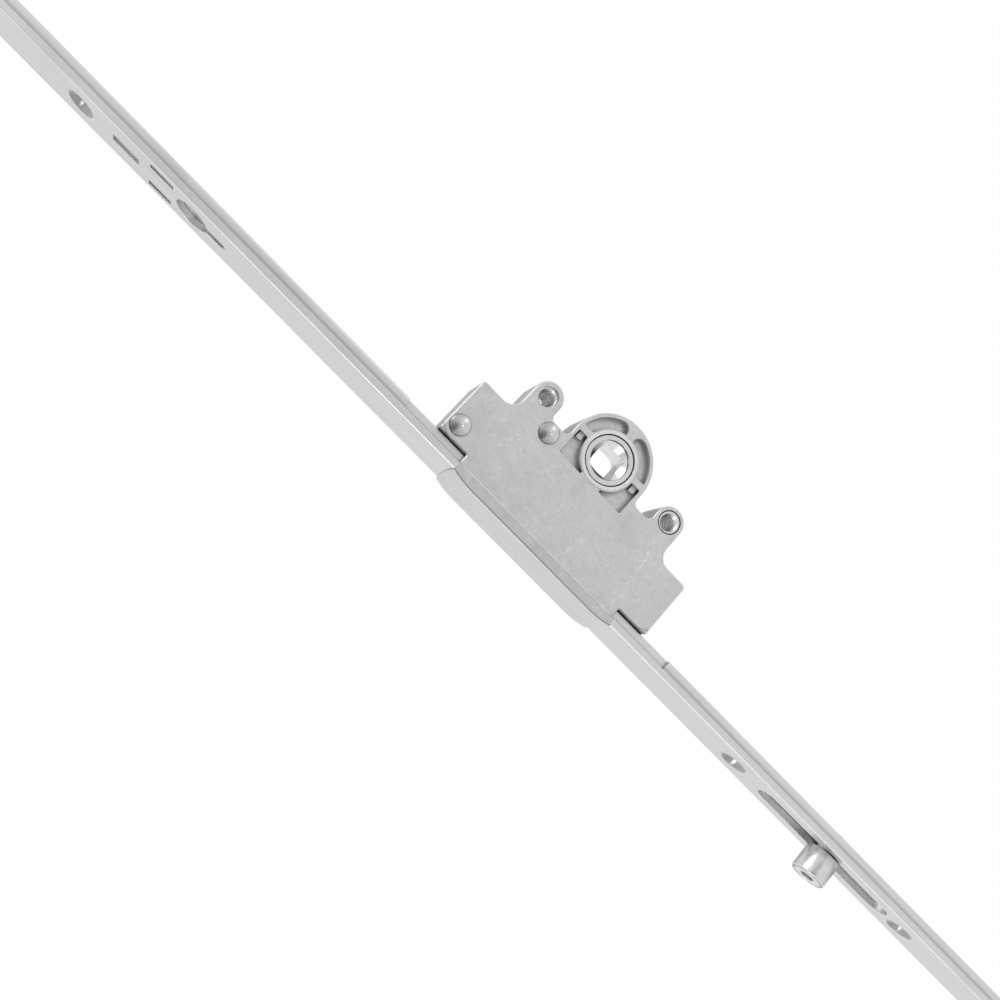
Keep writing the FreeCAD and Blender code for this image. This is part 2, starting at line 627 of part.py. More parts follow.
def nose_fillet(side):
    """Rounded corner between a face of the body and the wider nose."""
    face_y = side * CASE_THICKNESS / 2
    fillet_y = face_y + side * NOSE_FILLET
    inner_y = face_y - side * NOSE_FILLET
    centre = V(NOSE_REAR_X + NOSE_FILLET, fillet_y, -BODY_HALF_LENGTH)
    start = V(NOSE_REAR_X, fillet_y, -BODY_HALF_LENGTH)
    end = V(NOSE_REAR_X + NOSE_FILLET, face_y, -BODY_HALF_LENGTH)
    diagonal = NOSE_FILLET / sqrt(2)
    middle = centre + V(-diagonal, -side * diagonal, 0)
    low_corner = V(NOSE_REAR_X + NOSE_FILLET, inner_y, -BODY_HALF_LENGTH)
    rear_corner = V(NOSE_REAR_X - NOSE_FILLET, inner_y, -BODY_HALF_LENGTH)
    front_corner = V(NOSE_REAR_X - NOSE_FILLET, fillet_y, -BODY_HALF_LENGTH)
    outline = [Part.Arc(start, middle, end).toShape(), Part.makeLine(end, low_corner),
               Part.makeLine(low_corner, rear_corner), Part.makeLine(rear_corner, front_corner),
               Part.makeLine(front_corner, start)]
    return prism(Part.Face(Part.Wire(outline)), V(0, 0, 2 * BODY_HALF_LENGTH))


def case_blank(side):
    """One half of the case before its holes: side -1 faces the handle, side 1 is the back."""
    outer_y = side * CASE_THICKNESS / 2
    body = prism(rounded_face(case_outline(), in_xz(0)), V(0, outer_y, 0))
    body = chamfer_edges(body, CASE_EDGE, lambda edge: lies_at(edge, 1, outer_y)
                         and edge.BoundBox.XMin > NOSE_REAR_X + 1e-3)
    nose = prism(crown_face(0, NOSE_HALF_LENGTH, 0), V(0, side * FACE_WIDTH / 2, 0))
    return joined([body, nose, nose_fillet(side).common(half_space(side))])


def half_space(side):
    """Large block that holds everything on one side of the parting plane."""
    reach = RAIL_LENGTH / 2
    y0, y1 = sorted((0, side * reach))
    return block(-reach, reach, y0, y1, -reach, reach)


def nose_cutters(side):
    """Slider channel, tongue slots and peg hole of one half's nose."""
    y0, y1 = sorted((0, side * (SLIDER_WIDTH / 2 + SLIDE_GAP)))
    past_nose_z = NOSE_HALF_LENGTH + CUT_OVER
    cutters = [block(NOSE_REAR_X, EAR_BOTTOM_X, y0, y1, -past_nose_z, past_nose_z)]
    tongue_y0, tongue_y1 = sorted((0, side * (TONGUE_WIDTH / 2 + SEAT_GAP)))
    tongue_z = NOSE_HALF_LENGTH - TONGUE_LENGTH - SEAT_GAP
    for z0, z1 in ((tongue_z, past_nose_z), (-past_nose_z, -tongue_z)):
        cutters.append(block(NOSE_FRONT_X - CUT_OVER, FACE_REAR_X + SEAT_GAP, tongue_y0, tongue_y1, z0, z1))
    hole = cylinder_x(COVER_PEG_RADIUS + PRESS_GAP, NOSE_FRONT_X - CUT_OVER,
                      NOSE_FRONT_X + COVER_PEG_LENGTH + SEAT_GAP, side * COVER_PEG_Y, side * COVER_PEG_Z)
    cutters.append(hole)
    return cutters


def kidney_pocket(side, outer_y, inner_y):
    """Pocket above the hub, beside the top rib, with a wide corner at the rib: side 1 lies towards +Z."""
    y0, y1 = sorted((outer_y, inner_y))
    middle = cylinder_y(POCKET_INNER_RADIUS, y0 - CUT_OVER, y1 + CUT_OVER)
    ring = cylinder_y(POCKET_OUTER_RADIUS, y0, y1).cut(middle)
    z0, z1 = sorted((side * POCKET_TOP_RIB / 2, side * HUB_HOUSING_RADIUS))
    pocket = clean(ring.common(block(POCKET_RIB_HIGH_X, HUB_HOUSING_RADIUS, y0, y1, z0, z1)))
    rib_corner_x = sqrt(POCKET_OUTER_RADIUS ** 2 - (POCKET_TOP_RIB / 2) ** 2)
    small_corners = upright_edges(pocket, y1 - y0, lambda x, z: x < rib_corner_x - 1e-3)
    pocket = pocket.makeFillet(POCKET_CORNER, small_corners)
    wide_corners = upright_edges(pocket, y1 - y0, lambda x, z: x > rib_corner_x - 1e-3)
    widest = (POCKET_OUTER_RADIUS - POCKET_INNER_RADIUS) * POCKET_CORNER_SHARE
    return pocket.makeFillet(min(POCKET_TOP_CORNER, widest), wide_corners)


def corner_pocket(side, outer_y, inner_y):
    """Quarter pocket between the hub collar and the body: side 1 lies towards +Z."""
    z0, z1 = sorted((side * POCKET_TIP_Z, side * POCKET_OUTER_RADIUS))
    y0, y1 = sorted((outer_y, inner_y))
    pocket = block(POCKET_BOTTOM_X, POCKET_RIB_LOW_X, y0, y1, z0, z1)
    pocket = clean(pocket.cut(cylinder_y(POCKET_INNER_RADIUS, y0 - CUT_OVER, y1 + CUT_OVER)))
    wide_corners = upright_edges(pocket, y1 - y0, lambda x, z: abs(z) > POCKET_TIP_Z + 1e-3)
    pocket = pocket.makeFillet(POCKET_CORNER, wide_corners)
    tip_corners = upright_edges(pocket, y1 - y0, lambda x, z: abs(z) < POCKET_TIP_Z + 1e-3)
    return pocket.makeFillet(POCKET_TIP_CORNER, tip_corners)


def upright_edges(pocket, depth, wanted):
    """Straight edges along Y, as long as the pocket is deep, whose place (x, z) passes a test."""
    boxes = [(edge, edge.BoundBox) for edge in pocket.Edges]
    return [edge for edge, box in boxes if abs(box.YLength - depth) < 1e-3 and box.XLength < 1e-3
            and box.ZLength < 1e-3 and wanted(box.XMin, box.ZMin)]


def pocket_step(side):
    """Low step that stands in the top of a corner pocket."""
    z0, z1 = sorted((side * POCKET_STEP_INNER_Z, side * POCKET_STEP_OUTER_Z))
    floor_y = CASE_FRONT_Y + POCKET_DEPTH
    return block(POCKET_RIB_LOW_X - POCKET_STEP_LENGTH, POCKET_RIB_LOW_X, floor_y - POCKET_STEP_HEIGHT, floor_y,
                 z0, z1)


def insert_seat(side):
    """Bore for the threaded insert of a handle screw: the upper one sits under a lip."""
    z = side * BOSS_Z
    length = CASE_THICKNESS + 2
    bore = cylinder_y(INSERT_RADIUS + PRESS_GAP, insert_start(side), insert_start(side) + INSERT_LENGTH, 0, z)
    through = cylinder_y(INSERT_LIP_RADIUS, -length / 2, length / 2, 0, z)
    if side < 0:
        open_front = cylinder_y(INSERT_RADIUS + PRESS_GAP, -length / 2, 0, 0, z)
        return [bore, through, open_front]
    open_back = cylinder_y(INSERT_RADIUS + PRESS_GAP, 0, length / 2, 0, z)
    return [bore, through, open_back]


def insert_start(side):
    """Depth of an insert's handle-side end."""
    if side > 0:
        return CASE_BACK_Y - INSERT_RECESS - INSERT_LENGTH
    return CASE_FRONT_Y + INSERT_RECESS


def rivet_holes():
    reach = CASE_THICKNESS
    return [cylinder_y(RIVET_SHANK_RADIUS + PRESS_GAP, -reach, reach, x, z) for x, z in (EAR_RIVET, HUB_RIVET)]


def case_front():
    """Handle-side half: pockets, hub collar, gear cavity and the front of the slider channel."""
    case = case_blank(-1)
    collar = cylinder_y(COLLAR_RADIUS, CASE_FRONT_Y - COLLAR_RISE, CASE_FRONT_Y + POCKET_DEPTH)
    peg_x = EAR_RIVET[0]
    peg = cylinder_y(PEG_RADIUS, -1, PEG_LENGTH, peg_x, -EAR_RIVET[1])
    case = joined([case, collar, peg])
    floor_y = CASE_FRONT_Y + POCKET_DEPTH
    cutters = [kidney_pocket(side, CASE_FRONT_Y - COLLAR_RISE, floor_y) for side in (1, -1)]
    cutters += [corner_pocket(side, CASE_FRONT_Y - COLLAR_RISE, floor_y) for side in (1, -1)]
    cutters += [cylinder_y(HUB_ROOM_RADIUS, CAVITY_FRONT_Y, 0)]
    cutters += [cylinder_y(PINION_PITCH_RADIUS + ADDENDUM * MODULE + GEAR_ROOM, CAVITY_FRONT_Y, 0, IDLER_X)]
    cutters += [cylinder_y(AXLE_RADIUS + PRESS_GAP, CAVITY_FRONT_Y - AXLE_SEAT_FRONT, 0, IDLER_X)]
    bore = HUB_FRONT_RADIUS + RUNNING_FIT
    gap_floor_y = CASE_FRONT_Y - COLLAR_RISE + COLLAR_GAP_DEPTH
    cutters.append(cylinder_y(bore, -CASE_THICKNESS, 0))
    cutters.append(cylinder_y(HUB_FRONT_RADIUS + COLLAR_GAP, -CASE_THICKNESS, gap_floor_y))
    cutters += insert_seat(1) + insert_seat(-1) + rivet_holes() + nose_cutters(-1)
    return clean(joined([clean(case.cut(cutters)), pocket_step(1), pocket_step(-1)]))


def case_back():
    """Back half: the deeper gear cavity, the hub's rear bearing and two pockets."""
    case = case_blank(1)
    floor_y = CASE_BACK_Y - POCKET_DEPTH
    cutters = [kidney_pocket(side, CASE_BACK_Y, floor_y) for side in (1, -1)]
    cutters.append(cylinder_y(HUB_ROOM_RADIUS, 0, HUB_GEAR_BACK_Y + GEAR_LAYER_GAP))
    wheel_room = WHEEL_PITCH_RADIUS + ADDENDUM * MODULE + GEAR_ROOM
    cutters.append(cylinder_y(wheel_room, 0, CAVITY_BACK_Y, IDLER_X))
    cutters.append(cylinder_y(AXLE_RADIUS + PRESS_GAP, 0, CAVITY_BACK_Y + AXLE_SEAT_BACK, IDLER_X))
    cutters.append(cylinder_y(HUB_NECK_RADIUS + RUNNING_FIT, 0, CASE_BACK_Y + CUT_OVER))
    cutters.append(cylinder_y(PEG_RADIUS + SEAT_GAP, 0, PEG_LENGTH + SEAT_GAP, EAR_RIVET[0], -EAR_RIVET[1]))
    cutters += insert_seat(1) + insert_seat(-1) + rivet_holes() + nose_cutters(1)
    return clean(case.cut(cutters))


def nose_cover():
    """Thin crowned steel cover over the nose, with bowed ends, a fine seam and rivet pegs."""
    half = FACE_WIDTH / 2
    base_rise = COVER_THICKNESS - COVER_SEAM_DEPTH
    seam0 = COVER_SEAM_Y - COVER_SEAM_WIDTH / 2
    seam1 = COVER_SEAM_Y + COVER_SEAM_WIDTH / 2
    base = prism(crown_face(base_rise, COVER_HALF_LENGTH, -half), V(0, FACE_WIDTH, 0))
    near = prism(crown_face(COVER_THICKNESS, COVER_HALF_LENGTH, -half), V(0, half + seam0, 0))
    far = prism(crown_face(COVER_THICKNESS, COVER_HALF_LENGTH, seam1), V(0, half - seam1, 0))
    inner_face = crown_face(0, COVER_HALF_LENGTH + CUT_OVER, -half - CUT_OVER)
    inside = prism(inner_face, V(0, FACE_WIDTH + 2 * CUT_OVER, 0))
    shell = joined([base, near, far]).cut(inside)
    shell = shell.common(bowed_plan(half))
    shell = shell.cut(block(FACE_FRONT_X, 0, -half - CUT_OVER, half + CUT_OVER, -BACKSET, BACKSET))
    pegs = []
    for side in (1, -1):
        top = NOSE_FRONT_X - base_rise / 2
        pegs.append(cylinder_x(COVER_PEG_RADIUS, top, NOSE_FRONT_X + COVER_PEG_LENGTH,
                               side * COVER_PEG_Y, side * COVER_PEG_Z))
        pegs.append(cylinder_x(COVER_PEG_RADIUS, top, FACE_REAR_X - SEAT_GAP, 0, side * TONGUE_PEG_Z))
    return clean(joined([shell] + pegs))


def bowed_plan(half):
    """Plan of the cover, wide enough to trim it: both ends bow outwards a little."""
    corner_z = COVER_HALF_LENGTH - COVER_END_BOW
    x = NOSE_FRONT_X - CUT_OVER
    top = Part.Arc(V(x, -half, corner_z), V(x, 0, COVER_HALF_LENGTH), V(x, half, corner_z)).toShape()
    bottom = Part.Arc(V(x, half, -corner_z), V(x, 0, -COVER_HALF_LENGTH), V(x, -half, -corner_z)).toShape()
    right = Part.makeLine(V(x, half, corner_z), V(x, half, -corner_z))
    left = Part.makeLine(V(x, -half, -corner_z), V(x, -half, corner_z))
    return prism(Part.Face(Part.Wire([top, right, bottom, left])), V(BACKSET, 0, 0))


def hub():
    """Follower that the spindle turns: front journal, gear, rear neck and the square hole."""
    front_y = CASE_FRONT_Y - COLLAR_RISE + HUB_END_GAP
    back_y = CASE_BACK_Y - HUB_END_GAP
    shoulder_y = GEAR_FRONT_Y
    edge = HUB_RIM_EDGE
    journal = turned_y([(front_y, 0), (front_y, HUB_FRONT_RADIUS - edge), (front_y + edge, HUB_FRONT_RADIUS),
                        (shoulder_y, HUB_FRONT_RADIUS), (shoulder_y, 0)])
    teeth = gear(HUB_TEETH, 0, pi, GEAR_FRONT_Y, HUB_GEAR_BACK_Y)
    neck = cylinder_y(HUB_NECK_RADIUS, HUB_GEAR_BACK_Y, back_y)
    half = SPINDLE_SQUARE / 2
    corners = [(half, half, SQUARE_CORNER), (half, -half, SQUARE_CORNER),
               (-half, -half, SQUARE_CORNER), (-half, half, SQUARE_CORNER)]
    square = prism(rounded_face(corners, in_xz(-CASE_THICKNESS)), V(0, 2 * CASE_THICKNESS, 0))
    floor_y = front_y + HUB_DISH_DEPTH
    wall_y = front_y + HUB_DISH_WALL
    dish = turned_y([(-CASE_THICKNESS, 0), (-CASE_THICKNESS, HUB_DISH_RADIUS), (wall_y, HUB_DISH_RADIUS),
                     (floor_y, HUB_DISH_FLOOR_RADIUS), (floor_y, 0)])
    back_recess = cylinder_y(HUB_BACK_RECESS_RADIUS, floor_y + SQUARE_LENGTH, CASE_THICKNESS)
    return clean(joined([journal, teeth, neck]).cut([square, dish, back_recess]))


def idler_gear():
    """Stepped gear: the pinion meshes with the hub, the wheel behind it with the rack."""
    pinion = gear(PINION_TEETH, IDLER_X, pi / PINION_TEETH, GEAR_FRONT_Y, WHEEL_FRONT_Y)
    wheel = gear(WHEEL_TEETH, IDLER_X, pi, WHEEL_FRONT_Y, WHEEL_BACK_Y)
    bore = cylinder_y(AXLE_RADIUS + RUNNING_FIT, GEAR_FRONT_Y - CUT_OVER, WHEEL_BACK_Y + CUT_OVER, IDLER_X)
    return clean(joined([pinion, wheel]).cut(bore))


def idler_axle():
    return cylinder_y(AXLE_RADIUS, CAVITY_FRONT_Y - AXLE_SEAT_FRONT + SEAT_GAP,
                      CAVITY_BACK_Y + AXLE_SEAT_BACK - SEAT_GAP, IDLER_X)


def case_rivet(x, z):
    """Rivet through both halves, domed at each end, with a small dimple in the front dome."""
    dome_radius = (RIVET_HEAD_RADIUS ** 2 + RIVET_HEAD_RISE ** 2) / (2 * RIVET_HEAD_RISE)
    shank = cylinder_y(RIVET_SHANK_RADIUS, CASE_FRONT_Y - PRESS_GAP, CASE_BACK_Y + PRESS_GAP, x, z)
    domes = []
    for side in (-1, 1):
        face_y = side * CASE_THICKNESS / 2
        centre_y = face_y + side * (RIVET_HEAD_RISE - dome_radius)
        ball = Part.makeSphere(dome_radius, V(x, centre_y, z))
        y0, y1 = sorted((face_y, face_y + side * RIVET_HEAD_RISE))
        domes.append(ball.common(cylinder_y(RIVET_HEAD_RADIUS, y0, y1, x, z)))
    rivet = joined([shank] + domes)
    top_y = CASE_FRONT_Y - RIVET_HEAD_RISE
    dimple = Part.makeCone(RIVET_DIMPLE_RADIUS, RIVET_DIMPLE_RADIUS / 2, RIVET_DIMPLE_DEPTH,
                           V(x, top_y, z), Y_AXIS)
    return clean(rivet.cut(dimple))


def threaded_insert(side):
    """Steel insert in a boss that takes a handle screw."""
    y0 = insert_start(side)
    y1 = y0 + INSERT_LENGTH
    points = [(y0, INSERT_BORE_RADIUS + INSERT_CHAMFER), (y0, INSERT_RADIUS), (y1, INSERT_RADIUS),
              (y1, INSERT_BORE_RADIUS), (y0 + INSERT_CHAMFER, INSERT_BORE_RADIUS)]
    return turned_y(points, 0, side * BOSS_Z)


# Roller cam


def cam_stud():
    """Stud riveted into the lower rod so that it can turn, with an eccentric journal and a key socket."""
    roller_rear_x = FACE_FRONT_X - ROLLER_FACE_GAP
    roller_front_x = roller_rear_x - ROLLER_LENGTH
    flange_x = ROD_REAR_X + CAM_TAIL_FLANGE
    tip_x = ROD_REAR_X + CAM_TAIL_RISE
    shank = turned_x([(ROD_FRONT_X, 0), (ROD_FRONT_X, CAM_SHANK_RADIUS), (ROD_REAR_X, CAM_SHANK_RADIUS),
                      (ROD_REAR_X, CAM_TAIL_RADIUS), (flange_x, CAM_TAIL_RADIUS),
                      (flange_x, CAM_TAIL_TIP_RADIUS),
                      (tip_x - CAM_TAIL_CHAMFER, CAM_TAIL_TIP_RADIUS),
                      (tip_x, CAM_TAIL_TIP_RADIUS - CAM_TAIL_CHAMFER), (tip_x, 0)], 0, STUD_Z)
    collar = cylinder_x(CAM_COLLAR_RADIUS, roller_rear_x + SLIDE_GAP, ROD_FRONT_X - SEAT_GAP / 2, 0, STUD_Z)
    neck = cylinder_x(CAM_SHANK_RADIUS, roller_rear_x, ROD_FRONT_X, 0, STUD_Z)
    head_x = roller_front_x + CAM_HEAD_THICKNESS
    journal = cylinder_x(CAM_JOURNAL_RADIUS, head_x, roller_rear_x + SLIDE_GAP, 0, CAM_Z)
    head = cylinder_x(CAM_HEAD_RADIUS, roller_front_x + SEAT_GAP, head_x, 0, CAM_Z)
    hex_radius = CAM_HEX_WIDTH / sqrt(3)
    socket_x = roller_front_x - CUT_OVER
    hexagon = [V(socket_x, hex_radius * cos(pi * k / 3), CAM_Z + hex_radius * sin(pi * k / 3))
               for k in range(6)]
    mouth = Part.Face(Part.makePolygon(hexagon + hexagon[:1]))
    socket = prism(mouth, V(CUT_OVER + SEAT_GAP + CAM_HEX_DEPTH, 0, 0))
    return clean(joined([shank, collar, neck, journal, head]).cut(socket))


def cam_roller():
    """Hard steel roller that runs on the eccentric journal, recessed for the stud's head."""
    rear_x = FACE_FRONT_X - ROLLER_FACE_GAP
    front_x = rear_x - ROLLER_LENGTH
    shelf_x = front_x + CAM_HEAD_THICKNESS + SLIDE_GAP
    head_bore = CAM_HEAD_RADIUS + RUNNING_FIT
    journal_bore = CAM_JOURNAL_RADIUS + RUNNING_FIT
    points = [(rear_x, journal_bore), (rear_x, ROLLER_RADIUS - ROLLER_CHAMFER),
              (rear_x - ROLLER_CHAMFER, ROLLER_RADIUS), (front_x + ROLLER_CHAMFER, ROLLER_RADIUS),
              (front_x, ROLLER_RADIUS - ROLLER_CHAMFER), (front_x, head_bore), (shelf_x, head_bore),
              (shelf_x, journal_bore)]
    return turned_x(points, 0, CAM_Z)


PIECES = {
    "faceplate_upper": faceplate_upper,
    "faceplate_lower": faceplate_lower,
    "nose_cover": nose_cover,
    "case_front": case_front,
    "case_back": case_back,
    "hub": hub,
    "idler_gear": idler_gear,
    "idler_axle": idler_axle,
    "rack_slider": rack_slider,
    "drive_rod_upper": drive_rod_upper,
    "drive_rod_lower": drive_rod_lower,
    "rod_rivets": rod_rivets,
    "cam_stud": cam_stud,
    "cam_roller": cam_roller,
    "guide_bush_upper": lambda: guide_bush(UPPER_SCREW_Z),
    "guide_bush_middle": lambda: guide_bush(LOWER_SCREW_Z[0]),
    "guide_bush_lower": lambda: guide_bush(LOWER_SCREW_Z[1]),
    "ear_rivet": lambda: case_rivet(*EAR_RIVET),
    "hub_rivet": lambda: case_rivet(*HUB_RIVET),
    "threaded_insert_upper": lambda: threaded_insert(1),
    "threaded_insert_lower": lambda: threaded_insert(-1),
}

os.makedirs("parts", exist_ok=True)
for name, make in PIECES.items():
    shape = make()
    shape.exportStep(os.path.join("parts", name + ".step"))
    print(name, "valid" if shape.isValid() else "NOT VALID", len(shape.Solids), round(shape.Volume, 2))
print("stroke each way", round(STROKE, 4), "at", degrees(radians(STROKE_ANGLE)), "degrees")
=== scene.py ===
"""Window espagnolette: finishes, modelled details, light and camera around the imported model."""

from math import acos, cos, radians, sin

import bpy
from bpy.props import FloatProperty, FloatVectorProperty, IntProperty, PointerProperty
from mathutils import Matrix, Vector


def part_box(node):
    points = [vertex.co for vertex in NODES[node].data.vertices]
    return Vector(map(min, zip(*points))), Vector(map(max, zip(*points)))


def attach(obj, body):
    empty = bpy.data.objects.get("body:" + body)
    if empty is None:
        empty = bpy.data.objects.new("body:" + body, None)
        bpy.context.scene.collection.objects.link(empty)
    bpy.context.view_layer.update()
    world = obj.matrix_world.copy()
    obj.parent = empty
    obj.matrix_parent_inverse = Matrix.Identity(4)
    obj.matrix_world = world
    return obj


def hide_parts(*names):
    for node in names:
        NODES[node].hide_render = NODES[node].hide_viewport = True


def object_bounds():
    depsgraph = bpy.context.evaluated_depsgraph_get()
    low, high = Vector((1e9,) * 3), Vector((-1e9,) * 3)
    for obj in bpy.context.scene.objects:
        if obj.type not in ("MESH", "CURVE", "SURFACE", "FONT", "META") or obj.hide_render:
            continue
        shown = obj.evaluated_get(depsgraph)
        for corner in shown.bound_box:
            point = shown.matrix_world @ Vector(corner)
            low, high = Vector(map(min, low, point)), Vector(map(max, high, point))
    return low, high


bl_info = {
    "name": "Window espagnolette",
    "version": (1, 0, 0),
    "blender": (4, 5, 0),
    "location": "View3D > Sidebar > Espagnolette",
    "description": "Models a window espagnolette's turned details, dresses its metal and sets its stage",
    "category": "Object",
}

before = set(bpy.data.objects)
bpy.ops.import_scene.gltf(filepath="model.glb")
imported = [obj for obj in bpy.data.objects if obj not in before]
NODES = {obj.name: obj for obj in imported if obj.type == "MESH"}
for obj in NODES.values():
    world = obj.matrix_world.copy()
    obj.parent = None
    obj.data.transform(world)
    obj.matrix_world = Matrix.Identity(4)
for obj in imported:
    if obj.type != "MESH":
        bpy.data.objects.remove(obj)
CAD_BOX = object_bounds()

MM = 0.001
MERGE_GAP = 0.002 * MM
SMOOTH_ANGLE = radians(32)
AXIS_X = Vector((1, 0, 0))
AXIS_Y = Vector((0, 1, 0))
AXIS_Z = Vector((0, 0, 1))


def middle_of(node):
    """Middle of a node's box."""
    low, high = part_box(node)
    return (low + high) / 2


# Settings


class CastSettings(bpy.types.PropertyGroup):
    """Look of the die-cast zinc pieces, and where their shades begin and end."""

    case_colour: FloatVectorProperty(
        name="Case colour", description="Base colour of the gearbox case", subtype="COLOR", size=3,
        min=0, max=1, default=(0.60, 0.60, 0.60))
    hub_colour: FloatVectorProperty(
        name="Hub colour", description="Base colour of the hub", subtype="COLOR", size=3,
        min=0, max=1, default=(0.72, 0.72, 0.72))
    grain_size: FloatProperty(
        name="Grain", description="Size of the fine bumps of the casting skin", default=0.35 * MM,
        min=0.05 * MM, unit="LENGTH")
    cloud_size: FloatProperty(
        name="Clouds", description="Size of the paler and darker clouds", default=7 * MM,
        min=1 * MM, unit="LENGTH")
    fleck_size: FloatProperty(
        name="Flecks", description="Size of the small pale flecks", default=1.1 * MM,
        min=0.1 * MM, unit="LENGTH")
    cover_thickness: FloatProperty(
        name="Cover thickness", description="Thickness of the nose cover, up to its joint with the case",
        default=0.45 * MM, min=0.1 * MM, unit="LENGTH")
    crown_spread: FloatProperty(
        name="Crown spread", description="Squared run of the nose's ramp over its rise",
        default=48.2 * MM, min=1 * MM, unit="LENGTH")
    # The dark line at the cover's joint is painted shade.
    joint_width: FloatProperty(
        name="Joint width", description="Half width of the dark line at that joint", default=0.17 * MM,
        min=0.02 * MM, unit="LENGTH")
    nose_depth: FloatProperty(
        name="Nose depth", description="Depth of the nose's side behind that joint", default=2.5 * MM,
        min=0.5 * MM, unit="LENGTH")
    collar_radius: FloatProperty(
        name="Collar radius", description="Radius of the raised collar round the hub",
        default=7.4 * MM, min=1 * MM, unit="LENGTH")
    face_height: FloatProperty(
        name="Face height", description="Distance of the case's outer face from its middle plane",
        default=5.75 * MM, min=1 * MM, unit="LENGTH")
    dish_radius: FloatProperty(
        name="Dish radius", description="Radius of the dish in the hub's face", default=5.15 * MM,
        min=1 * MM, unit="LENGTH")


class SteelSettings(bpy.types.PropertyGroup):
    """Look of the rolled and turned steel pieces."""

    plate_colour: FloatVectorProperty(
        name="Faceplate colour", description="Base colour of the zinc-plated faceplates", subtype="COLOR",
        size=3, min=0, max=1, default=(0.65, 0.65, 0.65))
    rod_colour: FloatVectorProperty(
        name="Rod colour", description="Base colour of the zinc-plated rods", subtype="COLOR",
        size=3, min=0, max=1, default=(0.67, 0.67, 0.67))
    turned_colour: FloatVectorProperty(
        name="Turned colour", description="Base colour of bright turned steel", subtype="COLOR",
        size=3, min=0, max=1, default=(0.66, 0.66, 0.66))
    rivet_colour: FloatVectorProperty(
        name="Rivet colour", description="Base colour of the domed rivets", subtype="COLOR",
        size=3, min=0, max=1, default=(0.59, 0.59, 0.59))
    streak_length: FloatProperty(
        name="Streak length", description="Length of the rolling streaks along the rail", default=14 * MM,
        min=1 * MM, unit="LENGTH")
    streak_width: FloatProperty(
        name="Streak width", description="Width of the rolling streaks", default=0.25 * MM,
        min=0.02 * MM, unit="LENGTH")


class RivetSettings(bpy.types.PropertyGroup):
    """Sizes of the domed rivets."""

    head_radius: FloatProperty(
        name="Head radius", description="Radius of the domed heads", default=2.7 * MM, min=1 * MM,
        unit="LENGTH")
    head_rise: FloatProperty(
        name="Head rise", description="How far a dome stands above the case", default=1.0 * MM,
        min=0.3 * MM, unit="LENGTH")
    rim_height: FloatProperty(
        name="Rim", description="Height of the undercut rim below the dome", default=0.22 * MM,
        min=0.02 * MM, unit="LENGTH")
    undercut: FloatProperty(
        name="Undercut", description="How far the rim draws in towards the case", default=0.3 * MM,
        min=0, unit="LENGTH")
    shank_radius: FloatProperty(
        name="Shank radius", description="Radius of the shank between the heads", default=1.5 * MM,
        min=0.5 * MM, unit="LENGTH")
    dimple_radius: FloatProperty(
        name="Dimple radius", description="Radius of the mark that the riveting tool leaves",
        default=0.65 * MM, min=0.1 * MM, unit="LENGTH")
    dimple_depth: FloatProperty(
        name="Dimple depth", description="Depth of that mark", default=0.22 * MM, min=0.02 * MM,
        unit="LENGTH")


class ThreadSettings(bpy.types.PropertyGroup):
    """Sizes of the threaded inserts."""

    minor_radius: FloatProperty(
        name="Crest radius", description="Radius at the crests of the inner thread", default=2.1 * MM,
        min=0.5 * MM, unit="LENGTH")
    major_radius: FloatProperty(
        name="Root radius", description="Radius at the roots of the inner thread", default=2.5 * MM,
        min=0.6 * MM, unit="LENGTH")
    pitch: FloatProperty(
        name="Pitch", description="Distance from one turn of the thread to the next", default=1.1 * MM,
        min=0.2 * MM, unit="LENGTH")
    seat_chamfer: FloatProperty(
        name="Seat chamfer", description="Chamfer round the outside of the insert's ends",
        default=0.3 * MM, min=0.05 * MM, unit="LENGTH")
    mouth_chamfer: FloatProperty(
        name="Mouth chamfer", description="Width of the chamfer round the mouth", default=0.15 * MM,
        min=0.05 * MM, unit="LENGTH")
    steps: IntProperty(
        name="Steps per turn", description="Steps in one turn of the thread", default=40, min=12)


class RollerSettings(bpy.types.PropertyGroup):
    """Sizes of the roller."""

    edge_radius: FloatProperty(
        name="Edge radius", description="Rounding of the roller's outer edges", default=0.45 * MM,
        min=0.05 * MM, unit="LENGTH")
    rim_groove: FloatProperty(
        name="Rim groove", description="Depth of the fine groove round the roller's end face",
        default=0.14 * MM, min=0, unit="LENGTH")
    head_bore: FloatProperty(
        name="Head bore", description="Radius of the bore over the stud's head", default=3.75 * MM,
        min=1 * MM, unit="LENGTH")
    head_seat: FloatProperty(
        name="Head seat", description="Depth of that bore", default=1.45 * MM, min=0.2 * MM,
        unit="LENGTH")
    journal_bore: FloatProperty(
        name="Journal bore", description="Radius of the bore round the stud's journal",
        default=2.95 * MM, min=1 * MM, unit="LENGTH")


